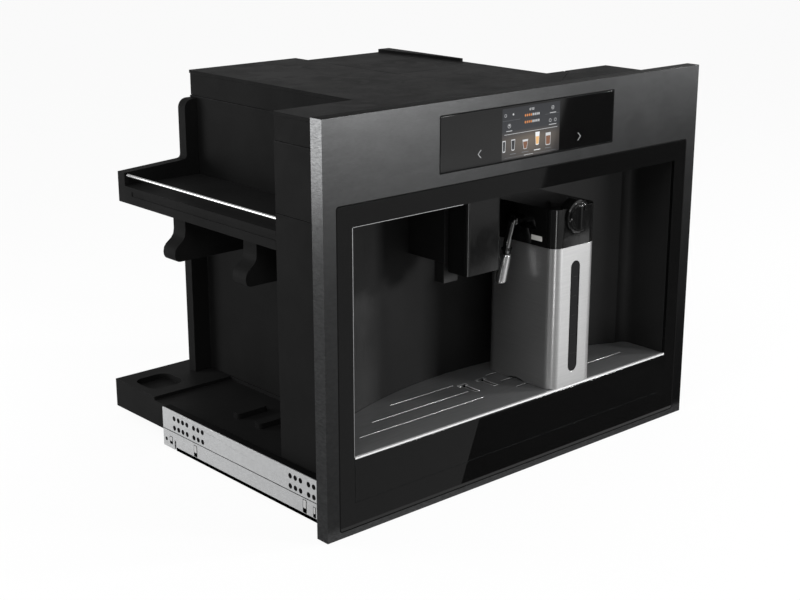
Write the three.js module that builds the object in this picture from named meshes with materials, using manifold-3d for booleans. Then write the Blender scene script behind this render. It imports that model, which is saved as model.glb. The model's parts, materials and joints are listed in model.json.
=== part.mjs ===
// Built-in coffee machine for a 45 cm high cabinet opening, hung on telescopic runners.
// Millimetres. X runs to the right seen from the front, Y runs to the back from the
// front face, Z runs up from the bottom edge of the front frame.
import * as THREE from 'three';
import { mergeVertices } from 'three/addons/utils/BufferGeometryUtils.js';
import Module from 'manifold-3d';

const wasm = await Module();
wasm.setup();

// ---------------------------------------------------------------- driving dimensions
const FIT = 0.3; // gap between two pieces that touch
const RUN = 0.5; // gap between two pieces that slide or turn on each other
const SHEET = 1.5; // folded sheet steel
const MOULDING = 2.5; // wall of a moulded plastic piece

// Front frame and its two glasses
const FRAME_WIDTH = 597;
const FRAME_HEIGHT = 455;
const FRAME_RETURN = 18;
const GLASS_THICK = 4;
const GLASS_JOINT = 0.6; // dark joint round each glass
const CONTROL_WIDTH = 278;
const CONTROL_HEIGHT = 61.2;
const CONTROL_FROM_TOP = 15;
const DISPLAY_WIDTH = 96;
const DISPLAY_DEPTH = 6;
const BOARD_THICK = 1.6;
const DOOR_RIM = 21; // glass beside the niche
const DOOR_LINTEL = 24.2; // glass above the niche
const DOOR_TO_CONTROL = 14.6;
const DOOR_BOTTOM = 7.8;
const DOOR_CORNER = 3;
const CARRIER_RIM = 4; // how far a glass carrier reaches past its glass
const CARRIER_BACK = 2.5;

// Niche: the concave space for cups behind the door glass
const NICHE_BOTTOM = 36.6;
const NICHE_DEPTH = 131; // at the middle
const NICHE_BACK_RADIUS = 520;
const NICHE_CORNER = 16;
const LINER_WALL = 2.5;

// Front housing: the deep block behind the front frame
const HOUSING_FRONT = FRAME_RETURN + 1;
const HOUSING_REAR = 122;
const HOUSING_WALL = 3.2;
const HOUSING_SEAM_DROP = 5; // how far the seam lies below the top of the niche

// Body behind the housing
const BODY_LEFT = 156;
const BODY_RIGHT = 155;
const BODY_REAR = 442;
const REAR_STEP = 26; // the right half of the rear wall stands forward of the left half
const REAR_STEP_X = 13;
const PANEL_WALL = 3;
const LOWER_INSET = 7; // the left wall stands further in below the shelf
const REAR_POST = 15; // thickness of the rear flange of the left bay
const POST_REACH = 18.5; // how far that flange stands out from the wall above the shelf
const COVER_DROP = 10; // how far the cover lies below the top of the front frame
const COVER_PLATE = 4;
const COVER_SKIRT = 27;
const COVER_LIP = 0.8;
const LID_FRONT = 240;
const CAP_SEAM_X = 115;
const CAP_SEAM_Y = 62;
const CAP_TAB_X = 185;
const CAP_TAB_Y = 113;
const CAP_NOTCH = 3;

// Base
const BASE_REAR = 475.5;
const BASE_BOTTOM = 15;
const BASE_TOP = 52;
const BASE_VOID_TOP = 41;
const DECK_STEP = 4.5;
const DECK_STEP_Y = 384;
const EDGE_NOTCH_WIDTH = 8;
const EDGE_NOTCH_DEPTH = 4.5;
const EDGE_NOTCH_Y = 264;
const WELL_WIDTH = 50;
const WELL_LENGTH = 48;
const WELL_DEPTH = 8;
const WELL_CORNER = 14;
const WELL_FROM_SIDE = 12;
const WELL_FROM_REAR = 22;
const RIB_LENGTH = 44;
const RIB_WIDTH = 14;
const RIB_HEIGHT = 7.5;
const RIB_FROM_SIDE = 39;
const RIB_Y = 214;
const RIB_PITCH = 44;

// Runners
const CABINET_OVERLAP = 18.5; // how far the front frame covers each cabinet wall
const RUNNER_SPACE = 14; // between the cabinet wall and the machine
const RUNNER_FRONT = 41;
const RUNNER_LENGTH = 303;
const RUNNER_BOTTOM = 4.3;
const RUNNER_HEIGHT = 49.7;
const RUNNER_SHEET = 1.6;
const RUNNER_NEST = 1.1; // gap above and below each nested member
const RUNNER_TAB = 24;
const HOLE_RADIUS = 3.2;
const HOLE_PITCH = 9.2;
const HOLE_LOW_Z = 33;
const HOLE_HIGH_Z = 45.2;
const HOLE_FRONT_Y = 46.3;
const HOLE_REAR_Y = 258.5;
const HOLE_GROUP_GAP = 5;
const HOLES_FRONT = 5;
const HOLES_FRONT_FIRST = 2;
const HOLES_REAR = 7;
const HOLES_REAR_FIRST = 3;

// Left bay: shelf with its rail, and two cord hooks under it
const SHELF_DEPTH = 130.2; // from the cover down to the shelf's floor
const SHELF_THICK = 21.3;
const SHELF_PLATE = 3;
const SHELF_RIM_HEIGHT = 16.2;
const SHELF_RIM_RISE = 5;
const FIN_DROP = 34; // from the cover down to the top of the fin
const FIN_RADIUS = 12;
const GROOVE_UP = 10.5; // from the underside of the shelf up to the groove
const GROOVE_HEIGHT = 5.5;
const GROOVE_DEPTH = 1;
const ROD_RADIUS = 1.8;
const ROD_BELOW_RIM = 3;
const ROD_FROM_SIDE = 3.2;
const ROD_SOCKET = 6;
const HOOK_THICK = 25;
const HOOK_FRONT_Y = 180;
const HOOK_REAR_Y = 322;
const HOOK_HEIGHT = 54.7;
const HOOK_NECK = 16; // how far the neck stands back from the nose

// Drip tray
const TRAY_TOP = 88.6;
const GRID_THICK = 2.3;
const TRAY_WALL = 2.2;
const TRAY_PLAY = 1.5;
const SLOT_WIDTH = 2;
const SLOT_INNER = 28;
const SLOT_ROWS = [[38.6, 220], [64.5, 180], [91, 129]]; // distance from the front, outer end
const KEY_SLOT_X = [-19, 12];
const KEY_SLOT_FRONT = 59;
const KEY_SLOT_REAR = 88;
const KEY_SLOT_WIDTH = 5;
const KEY_HEAD_WIDTH = 13;
const FLOAT_WIDTH = 20;
const FLOAT_HEIGHT = 12;
const FLOAT_FIN_TOP = 85;
const REST_WIDTH = 6;
const REST_HEIGHT = 2.5; // the float rests on a rib that stands on the tray's floor

// Coffee spout
const SPOUT_X = -40.5;
const SPOUT_WIDTH = 54;
const SPOUT_FRONT = 30;
const SPOUT_DEPTH = 34;
const SPOUT_HEIGHT = 93;
const SPOUT_TOP_GAP = 2;
const SPOUT_WALL = 3;
const SPOUT_HOLLOW = 24;
const SPOUT_CORNER = 5;
const GUIDE_WIDTH = 60;
const GUIDE_RISE = 10; // how far the guide ends above the bottom of the spout
const TONGUE_WIDTH = 12;
const TONGUE_DEPTH = 9;
const NOZZLE_RADIUS = 5;
const NOZZLE_SPREAD = 24;
const NOZZLE_INSET = 3;
const OUTLET_HEIGHT = 24;
const OUTLET_WIDTH = 22;
const OUTLET_DEPTH = 16;

// Milk carafe
const CARAFE_LEFT = 45.5;
const CARAFE_WIDTH = 73.5;
const CARAFE_DEPTH = 110;
const CARAFE_CORNER = 14;
const CARAFE_WALL = 1.2;
const CARAFE_FOOT = 8;
const CARAFE_FLOOR = 2;
const FOOT_ARCH_Y = 58;
const FOOT_ARCH_RADIUS = 34;
const FOOT_ARCH_HEIGHT = 3;
const WINDOW_WIDTH = 15.6;
const WINDOW_FOOT = 17.1; // from the bottom of the carafe up to the window
const WINDOW_HEAD = 18.3; // from the window up to the lid
const WINDOW_THICK = 2;
const LID_HEIGHT = 46.4;
const LID_TO_NICHE = 31;
const LID_WALL = 3;
const KNOB_RADIUS = 20;
const KNOB_DROP = 11.5; // from the top of the lid down to the knob's middle
const KNOB_DEPTH = 12;
const KNOB_SKIRT = 4;
const KNOB_PROUD = 10;
const KNOB_GRIP_WIDTH = 12;
const KNOB_GRIP_LENGTH = 34;
const ARM_Y = 60;
const ARM_DROP = 20; // from the top of the lid down to the arm
const ARM_RADIUS = 7;
const ARM_REACH = 9;
const ARM_POCKET = 6.5;
const MILK_TUBE_RADIUS = 4.2;
const TIP_RADIUS = 6.5;
const TIP_LENGTH = 34;
const PICKUP_RADIUS = 3.5;
const PICKUP_GAP = 7; // between the carafe's floor and the tube
const STEAM_RADIUS = 11;

// Bean hopper, grinder and brewing pieces
const HOPPER_WALL = 2.5;
const HOPPER_DECK_DROP = 21;
const HOPPER_DEPTH = 100;
const HOPPER_THROAT = 18;
const BEAN_MARGIN = 8;
const DIAL_SIDE = 34; // width of the strip beside the beans that carries the dial
const DIAL_RADIUS = 11;
const DIAL_HEIGHT = 9;
const LID_GRIP_WIDTH = 20;
const LID_GRIP_LENGTH = 146;
const LID_GRIP_HEIGHT = 4;
const GRINDER_X = 85;
const GRINDER_Y = 330;
const GRINDER_RADIUS = 34;
const GRINDER_BORE = 27;
const GRINDER_HEIGHT = 74.7;
const GRINDER_FLOOR = 12;
const BURR_RADIUS = 22;
const BURR_TOP_RADIUS = 13;
const BURR_HEIGHT = 24;
const BURR_SHAFT = 3.6;
const RING_BURR_HEIGHT = 20;
const RING_BURR_BORE = 16;
const MOTOR_RADIUS = 30;
const MOTOR_HEIGHT = 70;
const LEDGE_THICK = 4;
const BULKHEAD_Y = 245;
const BULKHEAD_DROP = 105;
const SERVICE_FRONT = 135;
const SERVICE_WIDTH = 100;
const GROUNDS_TOP = 98;
const SERVICE_BAR = 4; // strip of side panel between the two service openings
const SERVICE_DROP = 120; // from the cover down to the top of the brew unit's opening
const BREW_LEFT = 62;
const CHEEK_THICK = 4;
const CHEEK_MARGIN = 7;
const CYLINDER_RADIUS = 28;
const CYLINDER_WALL = 4;
const CYLINDER_LIFT = 78; // from the brew unit's foot up to the cylinder
const CYLINDER_HEIGHT = 60;
const PISTON_PLAY = 0.4;
const PISTON_THICK = 10;
const PISTON_ROD = 8;
const BOILER_LEFT = -65;
const BOILER_WIDTH = 80;
const BOILER_DEPTH = 55;
const BOILER_HEIGHT = 60;
const BOILER_LEDGE = 150;
const BOILER_STUB_RADIUS = 5;
const BOILER_STUB_LENGTH = 14;
const PUMP_LEFT = -115;
const PUMP_LENGTH = 85;
const PUMP_RADIUS = 17;
const PUMP_Y = 300;
const PUMP_FOOT = 22;
const POWER_BOARD_LEFT = -125;
const POWER_BOARD_WIDTH = 105;
const POWER_BOARD_BOTTOM = 130;
const POWER_BOARD_HEIGHT = 120;
const CAPACITOR_RADIUS = 9;
const CAPACITOR_LENGTH = 26;

// Mains inlet with its switch
const INLET_LEFT = -115;
const INLET_WIDTH = 56;
const INLET_BOTTOM = 68;
const INLET_HEIGHT = 44;
const INLET_FLANGE = 4;
const INLET_BODY_DEPTH = 24;
const INLET_THICK = 2.5;
const SOCKET_WIDTH = 24;
const SOCKET_HEIGHT = 17;
const ROCKER_WIDTH = 13;
const ROCKER_HEIGHT = 24;
const ROCKER_DEPTH = 7;

// Water tank in the right bay
const TANK_GAP = 3;
const TANK_FRONT = 252;
const TANK_LENGTH = 165;
const TANK_DROP = 155; // from the cover down to the rim of the tank
const TANK_WALL = 2.5;
const SEAT_RADIUS = 14;
const SEAT_HEIGHT = 12;
const TANK_LID_THICK = 4;
const TANK_CORNER = 10;

// Sizes that follow from the ones above
const FRAME_HALF = FRAME_WIDTH / 2;
const RUNNER_OUTER = FRAME_HALF - CABINET_OVERLAP;
const HOUSING_HALF = RUNNER_OUTER - RUNNER_SPACE;
const HOUSING_INNER = HOUSING_HALF - HOUSING_WALL;
const NICHE_HALF = HOUSING_INNER - FIT - LINER_WALL;
const DOOR_HALF = NICHE_HALF + DOOR_RIM;
const CONTROL_TOP = FRAME_HEIGHT - CONTROL_FROM_TOP;
const CONTROL_BOTTOM = CONTROL_TOP - CONTROL_HEIGHT;
const DOOR_TOP = CONTROL_BOTTOM - DOOR_TO_CONTROL;
const NICHE_TOP = DOOR_TOP - DOOR_LINTEL;
const HOUSING_SEAM = NICHE_TOP - HOUSING_SEAM_DROP;
const COVER_TOP = FRAME_HEIGHT - COVER_DROP;
const SKIRT_BOTTOM = COVER_TOP - COVER_PLATE - COVER_SKIRT;
const PANEL_TOP = SKIRT_BOTTOM - FIT;
const BODY_BOTTOM = BASE_TOP + FIT;
const PANEL_FRONT = HOUSING_REAR + FIT;
const DECK_LOW = BASE_TOP - DECK_STEP;
const LOWER_LEFT = BODY_LEFT - LOWER_INSET;
const RIGHT_INNER = BODY_RIGHT - PANEL_WALL;
const LEFT_INNER = LOWER_LEFT - PANEL_WALL;
const STEP_REAR = BODY_REAR - REAR_STEP;
const RUNNER_TOP = RUNNER_BOTTOM + RUNNER_HEIGHT;
const SHELF_FLOOR = COVER_TOP - SHELF_DEPTH;
const SHELF_BOTTOM = SHELF_FLOOR - SHELF_THICK;
const SHELF_RIM = SHELF_FLOOR + SHELF_RIM_HEIGHT;
const FIN_TOP = COVER_TOP - FIN_DROP;
const ROD_Z = SHELF_RIM - ROD_BELOW_RIM;
const HOOK_TOP = SHELF_BOTTOM - FIT;
const HOOK_BOTTOM = HOOK_TOP - HOOK_HEIGHT;
const TRAY_BOTTOM = NICHE_BOTTOM + FIT;
const TRAY_FLOOR = TRAY_BOTTOM + TRAY_WALL;
const TRAY_RIM = TRAY_TOP - GRID_THICK - FIT;
const LID_TOP = NICHE_TOP - LID_TO_NICHE;
const LID_BOTTOM = LID_TOP - LID_HEIGHT;
const CARAFE_STEEL_TOP = LID_BOTTOM - FIT;
const CARAFE_RIGHT = CARAFE_LEFT + CARAFE_WIDTH;
const CARAFE_X = CARAFE_LEFT + CARAFE_WIDTH / 2;
const CARAFE_BOTTOM = TRAY_TOP + FIT;
const CARAFE_INSIDE = CARAFE_BOTTOM + CARAFE_FOOT + CARAFE_FLOOR;
const KNOB_Z = LID_TOP - KNOB_DROP;
const ARM_Z = LID_TOP - ARM_DROP;
const SPOUT_TOP = NICHE_TOP - SPOUT_TOP_GAP;
const SPOUT_BOTTOM = SPOUT_TOP - SPOUT_HEIGHT;
const SPOUT_LEFT = SPOUT_X - SPOUT_WIDTH / 2;
const SPOUT_RIGHT = SPOUT_X + SPOUT_WIDTH / 2;
const SPOUT_REAR = SPOUT_FRONT + SPOUT_DEPTH;
const GUIDE_FRONT = SPOUT_REAR + RUN;
const GUIDE_BOTTOM = SPOUT_BOTTOM + GUIDE_RISE;
const SERVICE_REAR = SERVICE_FRONT + SERVICE_WIDTH;
const SERVICE_TOP = COVER_TOP - SERVICE_DROP;
const BREW_BOTTOM = GROUNDS_TOP + SERVICE_BAR;
const CYLINDER_FLOOR = BREW_BOTTOM + CYLINDER_LIFT;
const HOPPER_DECK = COVER_TOP - HOPPER_DECK_DROP;
const HOPPER_END = COVER_TOP - HOPPER_DEPTH;
const GRINDER_TOP = HOPPER_END - FIT;
const GRINDER_END = GRINDER_TOP - GRINDER_HEIGHT;
const MOTOR_END = GRINDER_END - FIT - MOTOR_HEIGHT;
const TANK_LEFT = BODY_RIGHT + TANK_GAP;
const TANK_RIGHT = HOUSING_HALF - TANK_GAP;
const TANK_REAR = TANK_FRONT + TANK_LENGTH;
const TANK_TOP = COVER_TOP - TANK_DROP;

// ---------------------------------------------------------------- solids from shapes
const AXES = {
  x: [new THREE.Vector3(0, 1, 0), new THREE.Vector3(0, 0, 1), new THREE.Vector3(1, 0, 0)],
  y: [new THREE.Vector3(1, 0, 0), new THREE.Vector3(0, 0, 1), new THREE.Vector3(0, -1, 0)],
  z: [new THREE.Vector3(1, 0, 0), new THREE.Vector3(0, 1, 0), new THREE.Vector3(0, 0, 1)],
};
const OVER = 1; // how far a cutter reaches past the face that it cuts

/** Turns a closed geometry into a solid that can be joined and cut. */
function solid(geometry) {
  geometry.deleteAttribute('normal');
  geometry.deleteAttribute('uv');
  const merged = mergeVertices(geometry, 1e-4);
  return new wasm.Manifold(new wasm.Mesh({
    numProp: 3,
    vertProperties: new Float32Array(merged.attributes.position.array),
    triVerts: new Uint32Array(merged.index.array),
  }));
}

/** Box between two values on each axis. */
function block([x0, x1], [y0, y1], [z0, z1]) {
  const box = new THREE.BoxGeometry(x1 - x0, y1 - y0, z1 - z0);
  box.translate((x0 + x1) / 2, (y0 + y1) / 2, (z0 + z1) / 2);
  return solid(box);
}

/** Outline pushed along an axis: drawn in XY for z, in XZ for y and in YZ for x. */
function prism(axis, outline, from, to, segments = 5) {
  const bar = new THREE.ExtrudeGeometry(outline, {
    depth: to - from,
    bevelEnabled: false,
    curveSegments: segments,
  });
  bar.applyMatrix4(new THREE.Matrix4().makeBasis(...AXES[axis]));
  const start = axis === 'y' ? to : from;
  bar.translate(axis === 'x' ? start : 0, axis === 'y' ? start : 0, axis === 'z' ? start : 0);
  return solid(bar);
}

/** Round bar along an axis; centre is given in the axis's own drawing plane. */
function rod(axis, [u, v], radius, from, to, sides = 20) {
  const ring = [];
  for (let i = 0; i < sides; i += 1) {
    const turn = (2 * Math.PI * i) / sides;
    ring.push(new THREE.Vector2(u + radius * Math.cos(turn), v + radius * Math.sin(turn)));
  }
  return prism(axis, new THREE.Shape(ring), from, to);
}

/** Shape through a list of points. */
function outlineOf(points) {
  return new THREE.Shape(points.map(([u, v]) => new THREE.Vector2(u, v)));
}

/** Rectangle with round corners. */
function roundedOutline([u0, u1], [v0, v1], radius) {
  const shape = new THREE.Shape();
  shape.moveTo(u0 + radius, v0);
  shape.lineTo(u1 - radius, v0);
  shape.absarc(u1 - radius, v0 + radius, radius, -Math.PI / 2, 0);
  shape.lineTo(u1, v1 - radius);
  shape.absarc(u1 - radius, v1 - radius, radius, 0, Math.PI / 2);
  shape.lineTo(u0 + radius, v1);
  shape.absarc(u0 + radius, v1 - radius, radius, Math.PI / 2, Math.PI);
  shape.lineTo(u0, v0 + radius);
  shape.absarc(u0 + radius, v0 + radius, radius, Math.PI, 1.5 * Math.PI);
  return shape;
}

/** Box whose top and bottom are different rectangles. */
function taper([x0, x1], [y0, y1], z0, [topX0, topX1], [topY0, topY1], z1) {
  const box = new THREE.BoxGeometry(1, 1, 1);
  const points = box.attributes.position;
  for (let i = 0; i < points.count; i += 1) {
    const high = points.getZ(i) > 0;
    const right = points.getX(i) > 0;
    const back = points.getY(i) > 0;
    const x = high ? (right ? topX1 : topX0) : (right ? x1 : x0);
    const y = high ? (back ? topY1 : topY0) : (back ? y1 : y0);
    points.setXYZ(i, x, y, high ? z1 : z0);
  }
  return solid(box);
}

/** Round tube along a smooth route. */
function sweep(points, radius, sides = 10, steps = 12) {
  const ring = [];
  for (let i = 0; i < sides; i += 1) {
    const turn = (2 * Math.PI * i) / sides;
    ring.push(new THREE.Vector2(radius * Math.cos(turn), radius * Math.sin(turn)));
  }
  const route = new THREE.CatmullRomCurve3(points.map((point) => new THREE.Vector3(...point)));
  return solid(new THREE.ExtrudeGeometry(new THREE.Shape(ring), {
    steps,
    bevelEnabled: false,
    extrudePath: route,
  }));
}

/** Solid of revolution about a vertical axis; the profile runs from axis to axis. */
function turned(profile, [x, y], sides = 24) {
  const body = new THREE.LatheGeometry(profile.map(([r, z]) => new THREE.Vector2(r, z)), sides);
  body.rotateX(Math.PI / 2);
  body.translate(x, y, 0);
  return solid(body);
}

/** Joins a list of solids into one. */
function join(solids) {
  return solids.reduce((whole, next) => whole.add(next));
}

/** Cuts every solid of a list out of the first one. */
function cut(body, tools) {
  return tools.reduce((whole, tool) => whole.subtract(tool), body);
}

// ---------------------------------------------------------------- finishes
const FINISHES = {
  brushedFrame: [0x8a8b8c, 0.38, 0.9],
  blackGlass: [0x1d1d1f, 0.08, 0],
  clearGlass: [0x9aa3a8, 0.1, 0],
  satinBlack: [0x303134, 0.45, 0],
  bodyPlastic: [0x4b4c4e, 0.6, 0],
  darkPlastic: [0x2a2b2d, 0.55, 0],
  glossBlack: [0x19191b, 0.12, 0],
  zinc: [0xc3c5c6, 0.45, 0.85],
  brushedSteel: [0xb9bbbc, 0.3, 0.95],
  trayMetal: [0x77797b, 0.35, 0.85],
  chrome: [0xd7d9da, 0.1, 1],
  castMetal: [0x8d8f90, 0.5, 0.8],
  board: [0x1f4a37, 0.55, 0.05],
  smoke: [0x4a4d52, 0.2, 0],
  milkWhite: [0xdcdcd8, 0.5, 0],
};

const machine = new THREE.Group();

/** Adds a finished solid to the machine as a named mesh. */
function addPiece(name, body, finish) {
  const { vertProperties, triVerts } = body.getMesh();
  const geometry = new THREE.BufferGeometry();
  geometry.setAttribute('position', new THREE.BufferAttribute(vertProperties, 3));
  geometry.setIndex(new THREE.BufferAttribute(triVerts, 1));
  geometry.computeVertexNormals();
  const [color, roughness, metalness] = FINISHES[finish];
  const mesh = new THREE.Mesh(geometry, new THREE.MeshStandardMaterial({ color, roughness, metalness }));
  mesh.name = name;
  machine.add(mesh);
}

// ---------------------------------------------------------------- shared outlines
/** Plan of the niche, drawn larger or smaller by grow, from a given front. */
function nichePlan(grow, front) {
  const half = NICHE_HALF + grow;
  const radius = NICHE_BACK_RADIUS + grow;
  const centreY = NICHE_DEPTH - NICHE_BACK_RADIUS;
  const arcHalf = half - NICHE_CORNER;
  const arcY = centreY + Math.sqrt(radius ** 2 - arcHalf ** 2);
  const turn = Math.asin(arcHalf / radius);
  const shape = new THREE.Shape();
  shape.moveTo(-half, front);
  shape.lineTo(half, front);
  shape.lineTo(half, arcY - NICHE_CORNER);
  shape.quadraticCurveTo(half, arcY, arcHalf, arcY);
  shape.absarc(0, centreY, radius, Math.PI / 2 - turn, Math.PI / 2 + turn);
  shape.quadraticCurveTo(-half, arcY, -half, arcY - NICHE_CORNER);
  return shape;
}

/** Solid that fills the niche in plan, between two heights. */
function nicheFill(grow, front, bottom, top) {
  return prism('z', nichePlan(grow, front), bottom, top, 12);
}

/** Plan of the carafe, drawn smaller by inset. */
function carafePlan(inset) {
  return roundedOutline(
    [CARAFE_LEFT + inset, CARAFE_RIGHT - inset],
    [inset, CARAFE_DEPTH - inset],
    CARAFE_CORNER - inset,
  );
}

/** Carrier plate behind a glass, with a pocket for the glass and a window through it. */
function glassCarrier(halfWidth, bottom, top, window) {
  const front = SHEET + FIT;
  const pocketFloor = GLASS_THICK + FIT;
  const plate = block(
    [-halfWidth - CARRIER_RIM, halfWidth + CARRIER_RIM],
    [front, pocketFloor + CARRIER_BACK],
    [bottom - CARRIER_RIM, top + CARRIER_RIM],
  );
  const pocket = block([-halfWidth, halfWidth], [0, pocketFloor], [bottom, top]);
  return cut(plate, [pocket, window]);
}

// ---------------------------------------------------------------- front
function addFrontFrame() {
  const shell = block([-FRAME_HALF, FRAME_HALF], [0, FRAME_RETURN], [0, FRAME_HEIGHT]);
  const inside = block(
    [-FRAME_HALF + SHEET, FRAME_HALF - SHEET],
    [SHEET, FRAME_RETURN + OVER],
    [SHEET, FRAME_HEIGHT - SHEET],
  );
  const controlHole = block(
    [-CONTROL_WIDTH / 2, CONTROL_WIDTH / 2],
    [-OVER, SHEET + OVER],
    [CONTROL_BOTTOM, CONTROL_TOP],
  );
  const doorHole = prism('y', roundedOutline(
    [-DOOR_HALF, DOOR_HALF],
    [DOOR_BOTTOM, DOOR_TOP],
    DOOR_CORNER,
  ), -OVER, SHEET + OVER);
  addPiece('front_frame', cut(shell, [inside, controlHole, doorHole]), 'brushedFrame');
}

function addControlPanel() {
  const half = CONTROL_WIDTH / 2 - GLASS_JOINT;
  const bottom = CONTROL_BOTTOM + GLASS_JOINT;
  const top = CONTROL_TOP - GLASS_JOINT;
  addPiece('control_glass', block([-half, half], [0, GLASS_THICK], [bottom, top]), 'blackGlass');
  const carrierBack = GLASS_THICK + FIT + CARRIER_BACK;
  const windowHalf = DISPLAY_WIDTH / 2 + CARRIER_RIM;
  const window = block(
    [-windowHalf, windowHalf],
    [0, carrierBack + OVER],
    [bottom + CARRIER_RIM, top - CARRIER_RIM],
  );
  const carrier = glassCarrier(CONTROL_WIDTH / 2, CONTROL_BOTTOM, CONTROL_TOP, window);
  addPiece('control_carrier', carrier, 'darkPlastic');
  const displayFront = GLASS_THICK + FIT;
  const display = block(
    [-windowHalf + FIT, windowHalf - FIT],
    [displayFront, displayFront + DISPLAY_DEPTH],
    [bottom + CARRIER_RIM + FIT, top - CARRIER_RIM - FIT],
  );
  addPiece('display_module', display, 'darkPlastic');
  const boardFront = displayFront + DISPLAY_DEPTH + FIT;
  const board = block(
    [-half + CARRIER_RIM, half - CARRIER_RIM],
    [boardFront, boardFront + BOARD_THICK],
    [bottom + CARRIER_RIM, top - CARRIER_RIM],
  );
  const plug = block(
    [-half / 2, -half / 4],
    [boardFront, HOUSING_FRONT + BOARD_THICK],
    [bottom + 2 * CARRIER_RIM, bottom + 4 * CARRIER_RIM],
  );
  addPiece('control_board', board.add(plug), 'board');
}

function addDoorGlass() {
  const half = DOOR_HALF - GLASS_JOINT;
  const plate = prism('y', roundedOutline(
    [-half, half],
    [DOOR_BOTTOM + GLASS_JOINT, DOOR_TOP - GLASS_JOINT],
    DOOR_CORNER - GLASS_JOINT,
  ), 0, GLASS_THICK);
  const opening = block(
    [-NICHE_HALF, NICHE_HALF],
    [-OVER, GLASS_THICK + OVER],
    [NICHE_BOTTOM, NICHE_TOP],
  );
  addPiece('door_glass', plate.subtract(opening), 'blackGlass');
}

function addNicheLiner() {
  const front = GLASS_THICK + FIT;
  const inside = nicheFill(0, -OVER, NICHE_BOTTOM, NICHE_TOP);
  const flange = glassCarrier(DOOR_HALF, DOOR_BOTTOM, DOOR_TOP, inside);
  const shell = nicheFill(LINER_WALL, front, NICHE_BOTTOM - LINER_WALL, NICHE_TOP + LINER_WALL);
  addPiece('niche_liner', cut(flange.add(shell), [inside]), 'satinBlack');
}

// ---------------------------------------------------------------- drip tray
function addDripTray() {
  const front = GLASS_THICK + FIT;
  const outer = nicheFill(-TRAY_PLAY, front, TRAY_BOTTOM, TRAY_RIM);
  const inner = nicheFill(
    -TRAY_PLAY - TRAY_WALL,
    front + TRAY_WALL,
    TRAY_FLOOR,
    TRAY_RIM + OVER,
  );
  addPiece('drip_tray', outer.subtract(inner), 'darkPlastic');
  const panelHalf = NICHE_HALF - GLASS_JOINT;
  const panel = block([-panelHalf, panelHalf], [0, GLASS_THICK], [TRAY_BOTTOM, TRAY_RIM]);
  addPiece('drip_tray_front', panel, 'blackGlass');
}

/** Long drain slots and the two keyed slots that place the carafe. */
function gridSlots() {
  const below = TRAY_RIM;
  const above = TRAY_TOP + OVER;
  const tools = [];
  for (const [y, outerEnd] of SLOT_ROWS) {
    for (const side of [-1, 1]) {
      const ends = [side * SLOT_INNER, side * outerEnd].sort((a, b) => a - b);
      tools.push(block(ends, [y - SLOT_WIDTH / 2, y + SLOT_WIDTH / 2], [below, above]));
    }
  }
  for (const x of KEY_SLOT_X) {
    const stem = [x - KEY_SLOT_WIDTH / 2, x + KEY_SLOT_WIDTH / 2];
    const head = [x - KEY_HEAD_WIDTH / 2, x + KEY_HEAD_WIDTH / 2];
    tools.push(block(stem, [KEY_SLOT_FRONT, KEY_SLOT_REAR], [below, above]));
    tools.push(block(head, [KEY_SLOT_REAR - KEY_SLOT_WIDTH, KEY_SLOT_REAR], [below, above]));
  }
  return tools;
}

function addDripGrid() {
  const plate = nicheFill(-TRAY_PLAY / 2, 0, TRAY_TOP - GRID_THICK, TRAY_TOP);
  addPiece('drip_grid', cut(plate, gridSlots()), 'trayMetal');
}

function addTrayFloat() {
  const x = KEY_SLOT_X[1];
  const finHalf = KEY_SLOT_WIDTH / 2 - RUN;
  const floatFloor = TRAY_FLOOR + REST_HEIGHT + FIT;
  const body = block(
    [x - FLOAT_WIDTH / 2, x + FLOAT_WIDTH / 2],
    [KEY_SLOT_FRONT, KEY_SLOT_REAR],
    [floatFloor, floatFloor + FLOAT_HEIGHT],
  );
  const fin = block(
    [x - finHalf, x + finHalf],
    [KEY_SLOT_FRONT + FIT, KEY_SLOT_REAR - 2 * KEY_SLOT_WIDTH],
    [floatFloor, FLOAT_FIN_TOP],
  );
  addPiece('tray_float', body.add(fin), 'milkWhite');
  const rest = block(
    [x - REST_WIDTH / 2, x + REST_WIDTH / 2],
    [KEY_SLOT_FRONT, KEY_SLOT_REAR],
    [TRAY_FLOOR + FIT, TRAY_FLOOR + REST_HEIGHT],
  );
  addPiece('float_rest', rest, 'darkPlastic');
}

// ---------------------------------------------------------------- coffee spout
function addSpoutGuide() {
  const box = block(
    [SPOUT_X - GUIDE_WIDTH / 2, SPOUT_X + GUIDE_WIDTH / 2],
    [GUIDE_FRONT, NICHE_DEPTH + LINER_WALL],
    [GUIDE_BOTTOM, NICHE_TOP - FIT],
  );
  const groove = block(
    [SPOUT_X - TONGUE_WIDTH / 2 - RUN, SPOUT_X + TONGUE_WIDTH / 2 + RUN],
    [GUIDE_FRONT - OVER, SPOUT_REAR + TONGUE_DEPTH + RUN],
    [GUIDE_BOTTOM - OVER, NICHE_TOP],
  );
  const room = nicheFill(-FIT, 0, GUIDE_BOTTOM - OVER, NICHE_TOP);
  addPiece('spout_guide', box.intersect(room).subtract(groove), 'satinBlack');
}

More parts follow.
